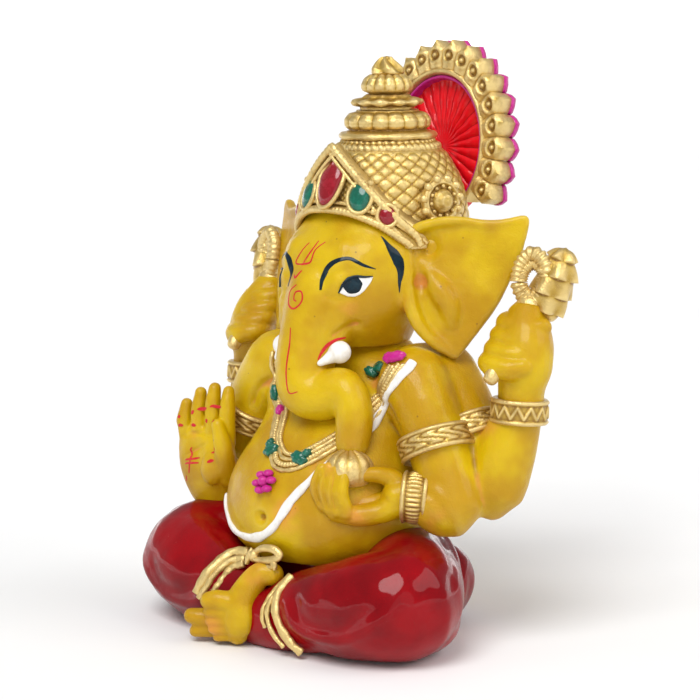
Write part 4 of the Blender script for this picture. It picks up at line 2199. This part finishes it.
FLOOR_REACH = 8000.0
BACKDROP_TOP = 900.0
BACKDROP_GLOW = 0.9
SKY_STRENGTH = 0.42
SUNS = (
    ("key", 22, 56, 34, 2.1),
    ("side", 118, 38, 40, 0.9),
    ("front", 60, 14, 50, 0.35),
)
SENSOR = 36.0
LENS = 116.4857
CAMERA_ANGLES = (45.0, 8.5, 0.95)
CAMERA_AIM = (-0.42, -0.42, 60.1)
CAMERA_FAR = 496.0


def build_stage() -> None:
    """The pale floor, the soft lights and the camera."""
    floor, ring = Form(), Form()
    floor.turned([(0, 0), (FLOOR_REACH, 0)], 64, 1)
    ring.turned([(FLOOR_REACH, 0), (FLOOR_REACH, BACKDROP_TOP)], 64, 1)
    pale = Recipe("floor_white")
    pale.set(
        Base_Color=pale.mix(pale.cloud(80.0).band(0.3, 0.7), (0.88, 0.88, 0.88), (0.91, 0.91, 0.91)),
        Roughness=0.7,
    )
    lit = Recipe("backdrop_white")
    lit.set(Base_Color=(0.9, 0.9, 0.9), Emission_Color=(1.0, 1.0, 1.0), Emission_Strength=BACKDROP_GLOW)
    for name, form, recipe in (("floor", floor, pale), ("backdrop", ring, lit)):
        mesh = form.mesh(name, hollows=False)
        mesh.transform(Matrix.Scale(MM, 4))
        mesh.materials.append(recipe.material)
        sheet = bpy.data.objects.new(name, mesh)
        bpy.context.scene.collection.objects.link(sheet)

    world = bpy.data.worlds.new("studio")
    world.use_nodes = True
    world.node_tree.nodes["Background"].inputs["Color"].default_value = (1.0, 1.0, 1.0, 1.0)
    world.node_tree.nodes["Background"].inputs["Strength"].default_value = SKY_STRENGTH
    bpy.context.scene.world = world

    for name, turn, rise, spread, power in SUNS:
        lamp = bpy.data.lights.new(name, "SUN")
        lamp.angle = math.radians(spread)
        lamp.energy = power
        light = bpy.data.objects.new(name, lamp)
        azimuth, height = math.radians(turn), math.radians(rise)
        spot = Vector((
            math.sin(azimuth) * math.cos(height), -math.cos(azimuth) * math.cos(height), math.sin(height),
        ))
        light.location = spot
        light.rotation_euler = spot.to_track_quat("Z", "Y").to_euler()
        bpy.context.scene.collection.objects.link(light)


def build_camera() -> None:
    """The camera at the idol's front left, a little above it and rolled a touch."""
    turn, rise, roll = (math.radians(a) for a in CAMERA_ANGLES)
    back = Vector((math.sin(turn) * math.cos(rise), -math.cos(turn) * math.cos(rise), math.sin(rise)))
    right = Vector((math.cos(turn), math.sin(turn), 0))
    up = back.cross(right)
    c, s = math.cos(roll), math.sin(roll)
    axes = Matrix((right * c - up * s, right * s + up * c, back)).transposed()
    data = bpy.data.cameras.new("camera")
    data.lens = LENS
    data.sensor_width = SENSOR
    data.clip_start = 0.01
    camera = bpy.data.objects.new("camera", data)
    spot = (Vector(CAMERA_AIM) + back * CAMERA_FAR) * MM
    camera.matrix_world = Matrix.Translation(spot) @ axes.to_4x4()
    bpy.context.scene.collection.objects.link(camera)
    bpy.context.scene.camera = camera


def main() -> None:
    """Builds the idol, lights it and hands it over."""
    logging.basicConfig(level=logging.INFO, format="%(message)s")
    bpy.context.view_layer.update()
    paints = Paints()
    bench = Bench()
    Seat().build(bench, paints)
    trunk = Trunk()
    trunk.build(bench, paints)
    hands = Hands()
    hands.build(bench, paints)
    head = Head()
    head.build(bench, paints)
    Crown().build(bench, paints)
    Halo().build(bench, paints)
    Jewels(trunk.surface).build(bench, paints)
    Touches(head.surface, hands).build(bench, paints)
    build_stage()
    build_camera()
    bpy.context.scene.view_settings.view_transform = "Standard"


if __name__ == "__main__":
    main()
